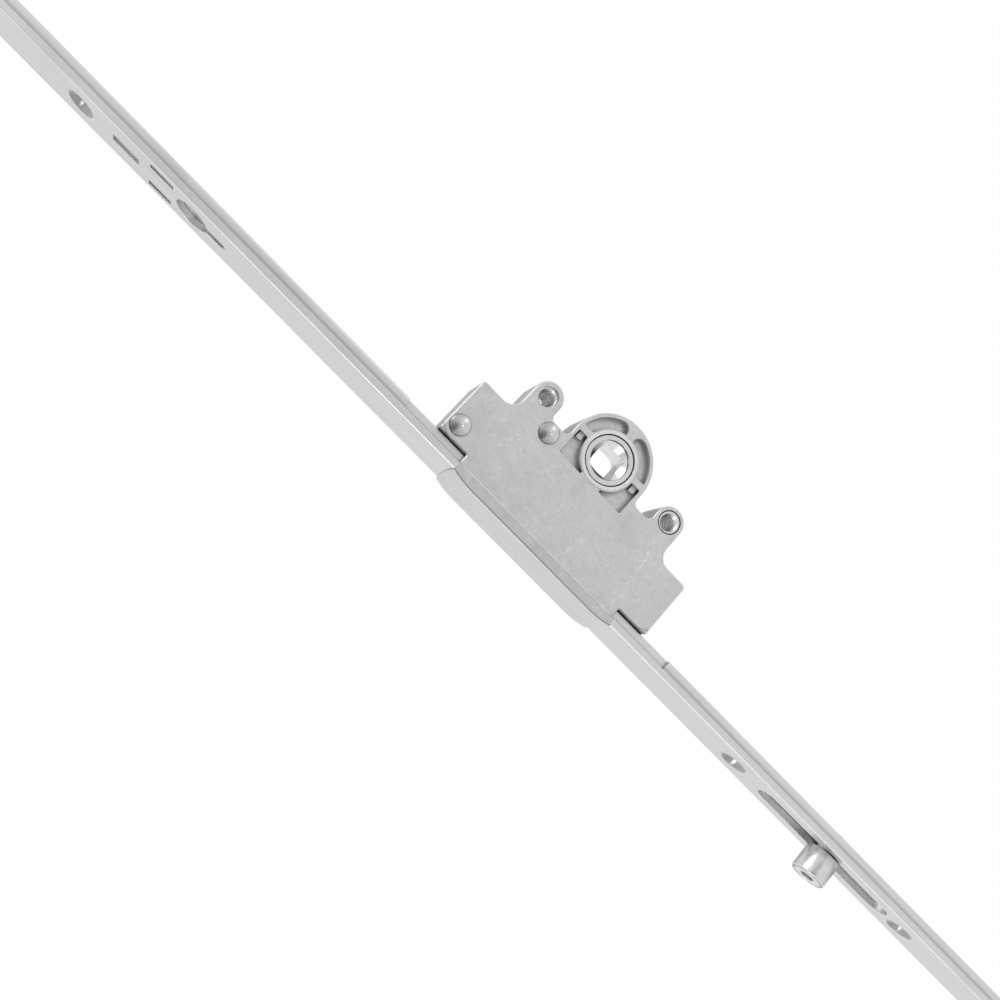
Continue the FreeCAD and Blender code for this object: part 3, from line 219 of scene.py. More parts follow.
class BushSettings(bpy.types.PropertyGroup):
    """Sizes of the guide bushes."""

    screw_radius: FloatProperty(
        name="Screw hole radius", description="Radius of the guide bushes' bores", default=2.2 * MM,
        min=1 * MM, unit="LENGTH")
    sink_radius: FloatProperty(
        name="Countersink radius", description="Radius of the countersink at the faceplate's front",
        default=3.75 * MM, min=1 * MM, unit="LENGTH")
    sink_depth: FloatProperty(
        name="Countersink depth", description="Depth of the countersink", default=1.5 * MM,
        min=0.1 * MM, unit="LENGTH")
    shank_radius: FloatProperty(
        name="Shank radius", description="Radius of the shank through the rod's slot",
        default=2.95 * MM, min=1 * MM, unit="LENGTH")
    flange_radius: FloatProperty(
        name="Flange radius", description="Radius of the flange behind the rod", default=3.9 * MM,
        min=1 * MM, unit="LENGTH")
    flange_thickness: FloatProperty(
        name="Flange thickness", description="Thickness of that flange", default=0.85 * MM,
        min=0.2 * MM, unit="LENGTH")
    edge_chamfer: FloatProperty(
        name="Edge chamfer", description="Fine chamfer on the bush's edges", default=0.07 * MM,
        min=0.01 * MM, unit="LENGTH")


class StageSettings(bpy.types.PropertyGroup):
    """Camera, backdrop and lights."""

    camera_place: FloatVectorProperty(
        name="Camera place", description="Where the camera stands", subtype="TRANSLATION", size=3,
        unit="LENGTH", default=(-110.44 * MM, -286.75 * MM, 56.22 * MM))
    camera_aim: FloatVectorProperty(
        name="Camera aim", description="Point that the camera looks at", subtype="TRANSLATION", size=3,
        unit="LENGTH", default=(-25.17 * MM, 0, 12.26 * MM))
    camera_roll: FloatProperty(
        name="Camera roll", description="Turn of the camera about its line of sight", subtype="ANGLE",
        default=radians(44.6))
    lens: FloatProperty(
        name="Lens", description="Focal length on a 36 mm sensor", default=45.25, min=10)
    backdrop_colour: FloatVectorProperty(
        name="Backdrop colour", description="Colour of the floor and backdrop", subtype="COLOR",
        size=3, min=0, max=1, default=(0.95, 0.95, 0.95))
    surround_light: FloatProperty(
        name="Surround light", description="Strength of the white surround", default=0.72, min=0)
    side_light: FloatProperty(
        name="Side light", description="Power of the soft light on the faceplate's side", default=2.4,
        min=0, unit="POWER")
    top_light: FloatProperty(
        name="Top light", description="Power of the soft light above", default=1.9, min=0, unit="POWER")
    right_light: FloatProperty(
        name="Right light", description="Power of the soft light on the gearbox's hub side", default=0.7,
        min=0, unit="POWER")
    grey_card: FloatProperty(
        name="Grey card", description="Level of the grey that gloss shows on the camera's side",
        default=0.22, min=0, max=1)
    far_card: FloatProperty(
        name="Far card", description="Level of the grey that gloss shows behind the object",
        default=0.5, min=0, max=1)


# Node materials


class Channel:
    """A shader socket on which sums and products build Math nodes."""

    def __init__(self, finish, socket):
        self.finish = finish
        self.socket = socket

    def math(self, operation, first, second):
        """A Math node on two values."""
        return self.finish.node("ShaderNodeMath", {"operation": operation}, {0: first, 1: second})

    def __add__(self, other):
        return self.math("ADD", self, other)

    def __radd__(self, other):
        return self.math("ADD", other, self)

    def __sub__(self, other):
        return self.math("SUBTRACT", self, other)

    def __rsub__(self, other):
        return self.math("SUBTRACT", other, self)

    def __mul__(self, other):
        return self.math("MULTIPLY", self, other)

    def __rmul__(self, other):
        return self.math("MULTIPLY", other, self)

    def __truediv__(self, other):
        return self.math("DIVIDE", self, other)

    def __rtruediv__(self, other):
        return self.math("DIVIDE", other, self)

    def __abs__(self):
        return self.math("ABSOLUTE", self, 0)


class Finish:
    """One node tree of a material or a world, built up node by node."""

    def __init__(self, block):
        self.block = block
        block.use_nodes = True
        self.tree = block.node_tree
        self.tree.nodes.clear()

    def node(self, kind, settings=None, values=None, output=0):
        """Add a node, apply its settings, feed its sockets and hand back one output."""
        made = self.tree.nodes.new(kind)
        for name, value in (settings or {}).items():
            if name == "stops":
                self.set_stops(made.color_ramp, value)
            else:
                setattr(made, name, value)
        for name, value in (values or {}).items():
            self.feed(made.inputs[name], value)
        return Channel(self, made.outputs[output]) if made.outputs else None

    def feed(self, socket, value):
        """Link a channel to a socket, or write a plain value on it."""
        if isinstance(value, Channel):
            self.tree.links.new(value.socket, socket)
        elif hasattr(value, "__len__") and len(value) == 3 and socket.type == "RGBA":
            socket.default_value = (*value, 1)
        else:
            socket.default_value = value

    def set_stops(self, ramp, stops):
        """Lay the stops of a ramp, each a place and a grey level."""
        while len(ramp.elements) < len(stops):
            ramp.elements.new(0.5)
        for element, (place, level) in zip(ramp.elements, stops):
            element.position = place
            element.color = (level, level, level, 1)

    def place(self):
        """Object coordinates, in metres."""
        return self.node("ShaderNodeTexCoord", output="Object")

    def coordinate(self, letter):
        """One of the object coordinates, in metres."""
        return self.node("ShaderNodeSeparateXYZ", {}, {0: self.place()}, output=letter)

    def facing(self, letter):
        """One component of the surface's normal."""
        normal = self.node("ShaderNodeNewGeometry", output="Normal")
        return self.node("ShaderNodeSeparateXYZ", {}, {0: normal}, output=letter)

    def from_axis(self, centre, axis):
        """Distance from an axis and distance along it, both in metres."""
        across = tuple(0.0 if component else 1.0 for component in axis)
        moved = self.node("ShaderNodeVectorMath", {"operation": "SUBTRACT"},
                          {0: self.place(), 1: tuple(centre)})
        flat = self.node("ShaderNodeVectorMath", {"operation": "MULTIPLY"}, {0: moved, 1: across})
        radius = self.node("ShaderNodeVectorMath", {"operation": "LENGTH"}, {0: flat}, output="Value")
        along = self.node("ShaderNodeVectorMath", {"operation": "DOT_PRODUCT"}, {0: moved, 1: tuple(axis)},
                          output="Value")
        return radius, along

    def noise(self, lengths, detail=4.0, roughness=0.55, distortion=0.0):
        """Noise whose marks have a length along each axis."""
        scale = tuple(1 / length for length in lengths)
        spot = self.node("ShaderNodeVectorMath", {"operation": "MULTIPLY"}, {0: self.place(), 1: scale})
        return self.node("ShaderNodeTexNoise", {}, {
            "Vector": spot, "Scale": 1.0, "Detail": detail, "Roughness": roughness,
            "Distortion": distortion})

    def ramp(self, channel, *stops):
        """Grey levels that follow a channel from stop to stop."""
        return self.node("ShaderNodeValToRGB", {"stops": stops}, {"Fac": channel})

    def rise(self, distance, start, end):
        """Share that goes from nought at one distance to one at another."""
        return self.ramp((distance - start) / (end - start), (0.0, 0.0), (1.0, 1.0))

    def shaded(self, colour, level):
        """A colour multiplied by a grey level."""
        return self.node("ShaderNodeMix", {"data_type": "RGBA", "blend_type": "MULTIPLY"},
                         {0: 1.0, 6: colour, 7: level}, output=2)

    def toned(self, colour, share, level):
        """A colour multiplied by a level where a share is one, and left alone where it is nought."""
        return self.shaded(colour, 1 - share * (1 - level))

    def rounded(self, radius):
        """Normal that softens sharp edges by a small radius."""
        return self.node("ShaderNodeBevel", {"samples": 8}, {"Radius": radius})

    def openness(self, reach):
        """One on open faces, falling in corners and narrow gaps."""
        return self.node("ShaderNodeAmbientOcclusion", {"samples": 8}, {"Distance": reach}, output="AO")

    def edge_highlight_share(self, radius):
        """Share of a painted highlight that rises along sharp edges."""
        soft = self.rounded(radius)
        plain = self.node("ShaderNodeNewGeometry", output="Normal")
        match = self.node("ShaderNodeVectorMath", {"operation": "DOT_PRODUCT"}, {0: soft, 1: plain},
                          output="Value")
        return self.ramp(1 - match, (0.02, 0.0), (0.16, 1.0))

    def with_painted_light(self, colour, radius, reach, shine=0.2, corner_shade_level=0.5):
        """A colour with painted highlights on sharp edges and painted shade in corners and narrow gaps."""
        openness = self.openness(reach)
        # Painted highlight along sharp edges on open faces, as strong as shine.
        painted_edge_highlight = self.edge_highlight_share(radius) * self.ramp(openness, (0.75, 0.0), (0.95, 1.0))
        # Painted shade in corners and narrow gaps, down to the given level.
        painted_corner_shade = self.ramp(openness, (0.25, corner_shade_level), (0.9, 1.0))
        return self.shaded(self.shaded(colour, 1 + painted_edge_highlight * shine), painted_corner_shade)

    def bump(self, height, depth, strength, normal):
        """Normal that follows a height."""
        return self.node("ShaderNodeBump", {}, {
            "Height": height, "Distance": depth, "Strength": strength, "Normal": normal})

    def metal(self, colour, roughness, normal, metallic=1.0):
        """Close the material with one metal shader."""
        shader = self.node("ShaderNodeBsdfPrincipled", {}, {
            "Base Color": colour, "Roughness": roughness, "Metallic": metallic, "Normal": normal})
        self.node("ShaderNodeOutputMaterial", {}, {"Surface": shader})
        return self.block


def scaled(colour, factor):
    """A colour made paler or darker by a factor."""
    return tuple(factor * level for level in colour)


def behind_joint(finish, settings):
    """Distance behind the joint between the crowned nose and its cover, in metres."""
    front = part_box("nose_cover")[0].x + settings.cover_thickness
    ramp_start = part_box("faceplate_upper")[0].z
    past = finish.node("ShaderNodeMath", {"operation": "MAXIMUM"},
                       {0: abs(finish.coordinate("Z")) - ramp_start, 1: 0.0})
    return finish.coordinate("X") - front - past * past / settings.crown_spread


def joint_shade_line(finish, tone, settings, level):
    """A colour with a fine line of painted shade at the cover's joint."""
    away = abs(behind_joint(finish, settings))
    line = 1 - finish.rise(away, settings.joint_width / 2, settings.joint_width)
    return finish.toned(tone, line, level)


def nose_shade(finish, settings):
    """Shares of painted shade: the nose's side, from the cover's joint back, and a darker line along its
    rear edge.
    """
    behind = behind_joint(finish, settings)
    depth = settings.nose_depth
    edge_width = 0.15 * MM
    edge_end = 0.1 * MM
    side_end = 0.6 * MM
    side = 1 - finish.rise(behind, depth + edge_end, depth + side_end)
    edge = finish.rise(behind, depth - edge_width, depth) * side
    return side, edge


def collar_share(finish, settings):
    """Share of the raised collar round the hub, on the case's outer face."""
    radius, along = finish.from_axis(middle_of("hub"), AXIS_Y)
    blur = 0.1 * MM
    margin = 0.15 * MM
    within = 1 - finish.rise(radius, settings.collar_radius - blur, settings.collar_radius + blur)
    outside = finish.rise(along, margin - settings.face_height, -settings.face_height)
    return within * outside


def cast_zinc(name, colour, settings, edge_radius=0.2 * MM):
    """Die-cast zinc: a cloudy grey skin with pale flecks, flow marks, fine bumps and softened edges, with
    painted shade on the nose and at the cover's joint, painted edge highlights and painted shade in
    corners.
    """
    finish = Finish(bpy.data.materials.new(name))
    cloud = finish.noise([settings.cloud_size] * 3, detail=5, roughness=0.6, distortion=0.6)
    flow = finish.noise([settings.cloud_size * 0.3] * 3, detail=6, roughness=0.65, distortion=1.2)
    fleck = finish.noise([settings.fleck_size] * 3, detail=3, roughness=0.5, distortion=0.8)
    grain = finish.noise([settings.grain_size] * 3, detail=3, roughness=0.6)
    paleness = finish.ramp(cloud * 0.55 + flow * 0.45, (0.36, 0.90), (0.50, 1.0), (0.64, 1.08))
    patches = finish.ramp(cloud, (0.48, 0.25), (0.58, 1.0))
    half_fleck = finish.ramp(fleck, (0.30, 0.44), (0.41, 0.5), (0.60, 0.5), (0.67, 0.58))
    flecks = 1 + (half_fleck * 2 - 1) * patches
    speckle = finish.ramp(grain, (0.3, 0.95), (0.7, 1.05))
    tone = finish.shaded(finish.shaded(finish.shaded(colour, paleness), flecks), speckle)
    nose_side_shade, nose_edge_shade = nose_shade(finish, settings)
    # Painted shade: the nose's side a little darker, and darker still along its rear edge.
    tone = finish.shaded(tone, 1 - nose_side_shade * 0.1 - nose_edge_shade * 0.22)
    # Painted highlights on edges, left off the nose's side, and painted shade in corners.
    tone = finish.with_painted_light(tone, edge_radius, 1.6 * MM, shine=0.18 - nose_side_shade * 0.18, corner_shade_level=0.4)
    # Painted shade in a fine line at the cover's joint.
    tone = joint_shade_line(finish, tone, settings, 0.35)
    tone = finish.toned(tone, collar_share(finish, settings), 1.22)
    roughness = 0.47 + (cloud - 0.5) * 0.3 + (grain - 0.5) * 0.12
    height = grain * 0.3 + flow * 0.4 + fleck * 0.3
    normal = finish.bump(height, 0.06 * MM, 0.5, finish.rounded(edge_radius))
    return finish.metal(tone, roughness, normal, metallic=0.9)


def hub_zinc(name, colour, settings):
    """Smoother die-cast zinc that the spindle has polished in the square and the dish."""
    finish = Finish(bpy.data.materials.new(name))
    radius = finish.from_axis(middle_of("hub"), AXIS_Y)[0]
    wear = finish.noise([1.2 * MM] * 3, detail=4, roughness=0.6)
    grain = finish.noise([settings.grain_size] * 3, detail=3, roughness=0.6)
    paleness = finish.ramp(wear, (0.34, 0.95), (0.66, 1.03))
    speckle = finish.ramp(grain, (0.3, 0.97), (0.7, 1.02))
    tone = finish.shaded(finish.shaded(colour, paleness), speckle)
    # Painted highlights on sharp edges and painted shade in corners.
    tone = finish.with_painted_light(tone, 0.15 * MM, 0.5 * MM, shine=0.25)
    blur = 0.15 * MM
    rim = finish.rise(radius, settings.dish_radius - blur, settings.dish_radius + blur)
    tone = finish.toned(tone, rim, 0.92)
    roughness = 0.2 + rim * 0.18 + (wear - 0.5) * 0.12
    normal = finish.bump(grain * 0.6 + wear * 0.4, 0.02 * MM, 0.4, finish.rounded(0.12 * MM))
    return finish.metal(tone, roughness, normal)


def rolled_steel(name, colour, settings, details):
    """Zinc-plated strip: fine streaks along the rail over faint clouds, then a piece's own details of
    painted light and shade.
    """
    finish = Finish(bpy.data.materials.new(name))
    width = settings.streak_width
    streaks = finish.noise((width, width, settings.streak_length), detail=4, roughness=0.6)
    cloud = finish.noise((6 * MM, 6 * MM, 22 * MM), detail=4, roughness=0.6, distortion=0.4)
    speck = finish.noise([0.3 * MM] * 3, detail=2)
    paleness = finish.ramp(cloud, (0.36, 0.96), (0.64, 1.03))
    lines = finish.ramp(streaks, (0.3, 0.96), (0.7, 1.03))
    tone = details(finish, finish.shaded(finish.shaded(colour, paleness), lines))
    edge_radius = 0.2 * MM
    # Painted highlights on sharp edges and painted shade in corners.
    tone = finish.with_painted_light(tone, edge_radius, 0.5 * MM, shine=0.4, corner_shade_level=0.6)
    roughness = 0.38 + (cloud - 0.5) * 0.2 + (streaks - 0.5) * 0.2
    height = streaks * 0.7 + speck * 0.3
    normal = finish.bump(height, 0.02 * MM, 0.4, finish.rounded(edge_radius))
    return finish.metal(tone, roughness, normal, metallic=0.93)


def rod_details(finish, tone):
    """Shadow line on a rod's sides, next to the faceplate."""
    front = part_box("drive_rod_upper")[0].x
    dark_depth = 1.22 * MM
    plain_depth = 1.75 * MM
    facing = finish.facing("X")
    near = 1 - finish.rise(finish.coordinate("X"), front + dark_depth, front + plain_depth)
    return finish.toned(tone, near * (1 - facing * facing), 0.72)


def strip_painted_light(finish, tone):
    """Painted light on a faceplate: paler walls in its openings and painted highlights on the roundings
    along its edges.
    """
    half_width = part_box("faceplate_upper")[1].y
    start = half_width * 0.94
    end = half_width * 0.96
    facing = finish.facing("X")
    inside = 1 - finish.rise(abs(finish.coordinate("Y")), start, end)
    wall = finish.ramp(facing * facing, (0.2, 1.0), (0.5, 0.0))
    # Painted light that lifts the shaded walls of the openings.
    tone = finish.toned(tone, inside * wall, 1.14)
    # Painted highlight on the rounded long edges.
    rounding = finish.ramp(abs(facing), (0.15, 0.0), (0.4, 1.0), (0.85, 1.0), (0.97, 0.0))
    return finish.toned(tone, rounding, 1.35)


def cover_joint_shade(finish, tone):
    """Painted shade in a dark line at the cover's joint with the case."""
    return joint_shade_line(finish, tone, bpy.context.scene.espagnolette_cast, 0.4)


def turned_steel(name, colour, centre, axis, shine=0.24, bands=(), reach=0.4 * MM, corner_shade_level=0.5, fades=()):
    """Turned steel: fine rings about an axis, with painted highlights on edges and painted shade in
    corners.

    A band is a radius and the level beyond it. A fade is a coordinate's letter, a start and an end
    from the centre, and the level at its end.
    """
    finish = Finish(bpy.data.materials.new(name))
    radius, along = finish.from_axis(centre, axis)
    ring_width = 0.12 * MM
    blur = 0.1 * MM
    rings = finish.node("ShaderNodeTexNoise", {"noise_dimensions": "1D"}, {
        "W": (radius + along) / ring_width, "Scale": 1.0, "Detail": 4.0})
    cloud = finish.noise([1.5 * MM] * 3, detail=4)
    tone = finish.shaded(colour, finish.ramp(cloud, (0.35, 0.94), (0.65, 1.04)))
    # Painted highlights on edges and painted shade in corners.
    tone = finish.with_painted_light(tone, 0.1 * MM, reach, corner_shade_level=corner_shade_level)
    for band_radius, level in bands:
        beyond = finish.rise(radius, band_radius - blur, band_radius + blur)
        tone = finish.toned(tone, beyond, level)
    for letter, start, end, level in fades:
        offset = finish.coordinate(letter) - centre["XYZ".index(letter)]
        tone = finish.toned(tone, finish.rise(offset, start, end), level)
    roughness = shine + (rings - 0.5) * 0.16 + (cloud - 0.5) * 0.16
    normal = finish.bump(rings, 0.008 * MM, 0.4, finish.rounded(0.06 * MM))
    return finish.metal(tone, roughness, normal)


def dress(names, material):
    """Give CAD nodes a material in place of their plain one."""
    for name in names:
        for slot in NODES[name].material_slots:
            slot.material = material


# Modelling helpers


def turned(name, centre, axis, profile, hollow, corners=72):
    """Solid of revolution, drawn ring by ring through points of place along an axis and radius."""
    bpy.ops.object.select_all(action="DESELECT")
    place, radius = profile[0]
    bpy.ops.mesh.primitive_circle_add(
        vertices=corners, radius=radius, fill_type="NOTHING" if hollow else "NGON",
        location=centre + axis * place, rotation=axis.to_track_quat("Z", "Y").to_euler())
    piece = bpy.context.active_object
    piece.name = name
    bpy.ops.object.mode_set(mode="EDIT")
    bpy.ops.mesh.select_all(action="SELECT")
    rings = profile[1:] + profile[:1] if hollow else profile[1:]
    for next_place, next_radius in rings:
        bpy.ops.mesh.extrude_region_move(
            TRANSFORM_OT_translate={"value": axis * (next_place - place), "orient_type": "GLOBAL"})
        share = next_radius / radius
        bpy.ops.transform.resize(value=(share, share, share), center_override=centre + axis * next_place)
        place, radius = next_place, next_radius
    close_up(piece)
    return piece


def close_up(piece):
    """Merge doubles, point the faces outwards and put the piece's place into its mesh."""
    bpy.ops.mesh.select_all(action="SELECT")
    bpy.ops.mesh.remove_doubles(threshold=MERGE_GAP)
    bpy.ops.mesh.normals_make_consistent(inside=False)
    bpy.ops.object.mode_set(mode="OBJECT")
    settle(piece)
    bpy.ops.object.shade_smooth_by_angle(angle=SMOOTH_ANGLE)


def settle(piece):
    """Leave the piece alone selected, with its place, turn and size in its mesh."""
    bpy.ops.object.select_all(action="DESELECT")
    piece.select_set(True)
    bpy.context.view_layer.objects.active = piece
    bpy.ops.object.transform_apply(location=True, rotation=True, scale=True)


def cut_away(piece, cutter):
    """Cut a solid out of a piece, and remove it."""
    settle(piece)
    cut = piece.modifiers.new("cut", "BOOLEAN")
    cut.operation = "DIFFERENCE"
    cut.solver = "EXACT"
    cut.object = cutter
    bpy.ops.object.modifier_apply(modifier=cut.name)
    bpy.data.objects.remove(cutter)


def copy_of(piece, name, shift):
    """Copy of a piece with its own mesh, moved along."""
    settle(piece)
    bpy.ops.object.duplicate(linked=False)
    copy = bpy.context.active_object
    copy.name = name
    bpy.ops.transform.translate(value=shift, orient_type="GLOBAL")
    settle(copy)
    return copy


def stand_for(piece, node, body, material):
    """Let a finished piece take a CAD node's place."""
    piece.data.materials.append(material)
    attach(piece, body)
    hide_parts(node)


def arc(centre_place, centre_radius, size, start, end, parts=5):
    """Points of an arc in a profile, from one angle to another, in degrees."""
    points = []
    for step in range(parts + 1):
        angle = radians(start + (end - start) * step / parts)
        points.append((centre_place + size * cos(angle), centre_radius + size * sin(angle)))
    return points


# Pieces


def rivet_dome(settings, face, from_tip):
    """Half profile of one head, from its undercut foot to the tip or back."""
    rise = settings.head_rise - settings.rim_height
    ball = (settings.head_radius ** 2 + rise ** 2) / (2 * rise)
    middle = face + settings.head_rise - ball
    widest = acos((face + settings.rim_height - middle) / ball)
    narrowest = settings.dimple_radius * 1.15 / ball
    steps = 9
    points = [(face, settings.head_radius - settings.undercut)]
    for step in range(steps + 1):
        angle = widest + (narrowest - widest) * step / steps
        points.append((middle + ball * cos(angle), ball * sin(angle)))
    return list(reversed(points)) if from_tip else points


def rivet_profile(settings, half_case):
    """Whole profile from the plain rear tip to the dimpled front tip."""
    rear = [(-place, radius) for place, radius in rivet_dome(settings, half_case, True)]
    front = rivet_dome(settings, half_case, False)
    tip = half_case + settings.head_rise
    radius = settings.dimple_radius
    depth = settings.dimple_depth
    lip = 0.05 * MM
    shank = [(-half_case, settings.shank_radius), (half_case, settings.shank_radius)]
    dimple = [(tip - lip, radius), (tip - depth, radius * 0.7), (tip - depth, radius * 0.3),
              (tip - depth * 0.7, radius * 0.12)]
    return [(-tip, radius * 0.3)] + rear + shank + front + dimple


class ESPAGNOLETTE_OT_model_rivets(bpy.types.Operator):
    """Model the domed rivets that hold the case together"""

    bl_idname = "espagnolette.model_rivets"
    bl_label = "Model the rivets"

    def execute(self, context):
        settings = context.scene.espagnolette_rivet
        colour = tuple(context.scene.espagnolette_steel.rivet_colour)
        low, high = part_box("ear_rivet")
        half_case = (high.y - low.y) / 2 - settings.head_rise
        centre = middle_of("ear_rivet")
        ear = turned("ear_rivet_turned", centre, -AXIS_Y, rivet_profile(settings, half_case), hollow=False)
        shift = middle_of("hub_rivet") - centre
        hub = copy_of(ear, "hub_rivet_turned", shift)
        # Painted shade: a dark rim round the edge of each dome.
        rim = ((settings.head_radius * 0.94, 0.5),)
        reach = settings.head_radius * 0.8
        # Painted shade: a crescent that darkens towards +Z and -X, standing in for a dark reflection on
        # the domes.
        crescent_shade = (("Z", 0, reach, 0.62), ("X", 0, -reach, 0.62))
        for piece, node in ((ear, "ear_rivet"), (hub, "hub_rivet")):
            material = turned_steel("polished_" + node, colour, middle_of(node), AXIS_Y, shine=0.28,
                                    bands=rim, fades=crescent_shade)
            stand_for(piece, node, "gearbox", material)
        return {"FINISHED"}


def thread_cutter(settings, centre, start, length):
    """Solid screw whose thread fits the insert, cut square at both ends."""
    depth = settings.major_radius - settings.minor_radius
    pitch = settings.pitch
    flank = 0.38 * pitch
    land = 0.12 * pitch
    spare_turns = 2
    bpy.ops.object.select_all(action="DESELECT")
    bpy.ops.mesh.primitive_plane_add(size=depth, location=centre)
    cutter = bpy.context.active_object
    bpy.ops.object.mode_set(mode="EDIT")
    bpy.ops.mesh.select_mode(type="VERT")
    bpy.ops.mesh.select_all(action="SELECT")
    bpy.ops.mesh.merge(type="CENTER")
    first_turn = start - spare_turns * pitch - centre.y
    bpy.ops.transform.translate(value=(settings.minor_radius, first_turn, 0), orient_type="GLOBAL")
    for outward, along in ((depth, flank), (0, land), (-depth, flank), (0, land)):
        bpy.ops.mesh.extrude_region_move(
            TRANSFORM_OT_translate={"value": (outward, along, 0), "orient_type": "GLOBAL"})
    bpy.ops.object.mode_set(mode="OBJECT")
    screw = cutter.modifiers.new("thread", "SCREW")
    screw.axis = "Y"
    screw.screw_offset = pitch
    screw.iterations = int(length / pitch) + 2 * spare_turns
    screw.steps = settings.steps
    screw.render_steps = settings.steps
    bpy.ops.object.modifier_apply(modifier=screw.name)
    bpy.ops.object.mode_set(mode="EDIT")
    bpy.ops.mesh.select_all(action="SELECT")
    bpy.ops.mesh.remove_doubles(threshold=MERGE_GAP)
    overshoot = 0.3 * MM
    for place, direction in ((start - overshoot, -1), (start + length + overshoot, 1)):
        bpy.ops.mesh.select_all(action="SELECT")
        bpy.ops.mesh.bisect(plane_co=(centre.x, place, centre.z), plane_no=(0, direction, 0),
                            use_fill=True, clear_outer=True)
    close_up(cutter)
    return cutter


def mouth_cutter(settings, centre, half):
    """Cone that chamfers the mouth of the insert's bore."""
    mouth = settings.mouth_chamfer
    cone = [(-half - mouth, settings.minor_radius + 2 * mouth), (-half + mouth, settings.minor_radius)]
    return turned("mouth_cutter", centre, AXIS_Y, cone, hollow=False)


def insert_profile(settings, radius, half):
    """Half profile of an insert before its thread is cut."""
    edge = settings.seat_chamfer
    return [(-half, radius - edge), (-half + edge * 2, radius), (half - edge * 2, radius),
            (half, radius - edge)]


class ESPAGNOLETTE_OT_model_inserts(bpy.types.Operator):
    """Model the threaded inserts of the handle screws"""

    bl_idname = "espagnolette.model_inserts"
    bl_label = "Model the threaded inserts"

    def execute(self, context):
        settings = context.scene.espagnolette_thread
        colour = tuple(context.scene.espagnolette_steel.turned_colour)
        low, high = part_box("threaded_insert_lower")
        centre = middle_of("threaded_insert_lower")
        radius = high.x - centre.x
        half = (high.y - low.y) / 2
        profile = insert_profile(settings, radius, half)
        lower = turned("threaded_insert_lower_cut", centre, AXIS_Y, profile, hollow=False)
        thread = thread_cutter(settings, centre, low.y, high.y - low.y)
        mouth = mouth_cutter(settings, centre, half)
        cut_away(lower, thread)
        cut_away(lower, mouth)
        settle(lower)
        bpy.ops.object.shade_smooth_by_angle(angle=SMOOTH_ANGLE)
        shift = middle_of("threaded_insert_upper") - centre
        upper = copy_of(lower, "threaded_insert_upper_cut", shift)
        root = settings.minor_radius + 0.16 * MM
        rings = ((root, 0.75), (settings.major_radius, 1.2), (radius - settings.seat_chamfer, 0.45))
        inner = half - 4 * settings.pitch
        ends = (("Y", -inner, -half, 0.85), ("Y", inner, half, 0.7))
        for piece, node in ((lower, "threaded_insert_lower"), (upper, "threaded_insert_upper")):
            # Painted light: the colour is lifted 1.45 times to lighten the shaded bores.
            material = turned_steel("threaded_" + node, scaled(colour, 1.45), middle_of(node), AXIS_Y,
                                    shine=0.28, bands=rings, corner_shade_level=0.9, fades=ends)
            stand_for(piece, node, "gearbox", material)
        return {"FINISHED"}


def bush_profile(settings, length, head):
    """Half profile of a guide bush, from its countersink round the outside to the rear of its bore."""
    bore = settings.screw_radius
    sink = settings.sink_radius
    shank = settings.shank_radius
    flange = settings.flange_radius
    flange_place = length - settings.flange_thickness
    edge = settings.edge_chamfer
    return [(settings.sink_depth, bore), (edge, sink - edge), (0, sink + edge * 0.6),
            (0, head - edge), (edge, head), (head - shank, shank), (flange_place, shank),
            (flange_place, flange - edge), (flange_place + edge, flange), (length - edge, flange),
            (length, flange - edge), (length, bore)]


class ESPAGNOLETTE_OT_model_bushes(bpy.types.Operator):
    """Model the countersunk guide bushes"""

    bl_idname = "espagnolette.model_bushes"
    bl_label = "Model the guide bushes"

    def execute(self, context):
        settings = context.scene.espagnolette_bush
        colour = tuple(context.scene.espagnolette_steel.turned_colour)
        node = "guide_bush_middle"
        low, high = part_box(node)
        centre = Vector((low.x, (low.y + high.y) / 2, (low.z + high.z) / 2))
        profile = bush_profile(settings, high.x - low.x, (high.y - low.y) / 2)
        middle = turned(node + "_turned", centre, AXIS_X, profile, hollow=True)
        pieces = {node: middle}
        for other in ("guide_bush_upper", "guide_bush_lower"):
            shift = middle_of(other) - middle_of(node)
            pieces[other] = copy_of(middle, other + "_turned", shift)
        # Painted shade: the countersinks are darkened to 0.56 of turned steel, and the flat front ring
        # beyond them is brought back 1.75 times paler.
        face = ((settings.sink_radius, 1.75),)
        # Painted shade on the +Z side of each bush.
        shade = (("Z", -0.5 * MM, 0.8 * MM, 0.8),)
        for name, piece in pieces.items():
            material = turned_steel("sunk_" + name, scaled(colour, 0.56), middle_of(name), AXIS_X,
                                    shine=0.12, bands=face, fades=shade)
            stand_for(piece, name, "gearbox", material)
        return {"FINISHED"}


def roller_profile(settings, length, radius, rim):
    """Half profile of the roller, from its rear bore round the outside to the seat of the stud's head."""
    size = settings.edge_radius
    groove = settings.rim_groove
    bore = settings.head_bore
    seat = length - settings.head_seat
    rear = [(0, settings.journal_bore)] + arc(size, radius - size, size, 180, 90)
    front = arc(length - size, radius - size, size, 90, 0)
    grooves = [(length, rim + groove), (length - groove, rim), (length, rim - groove),
               (length, bore + groove), (length - groove, bore)]
    return rear + front + grooves + [(seat, bore), (seat, settings.journal_bore)]


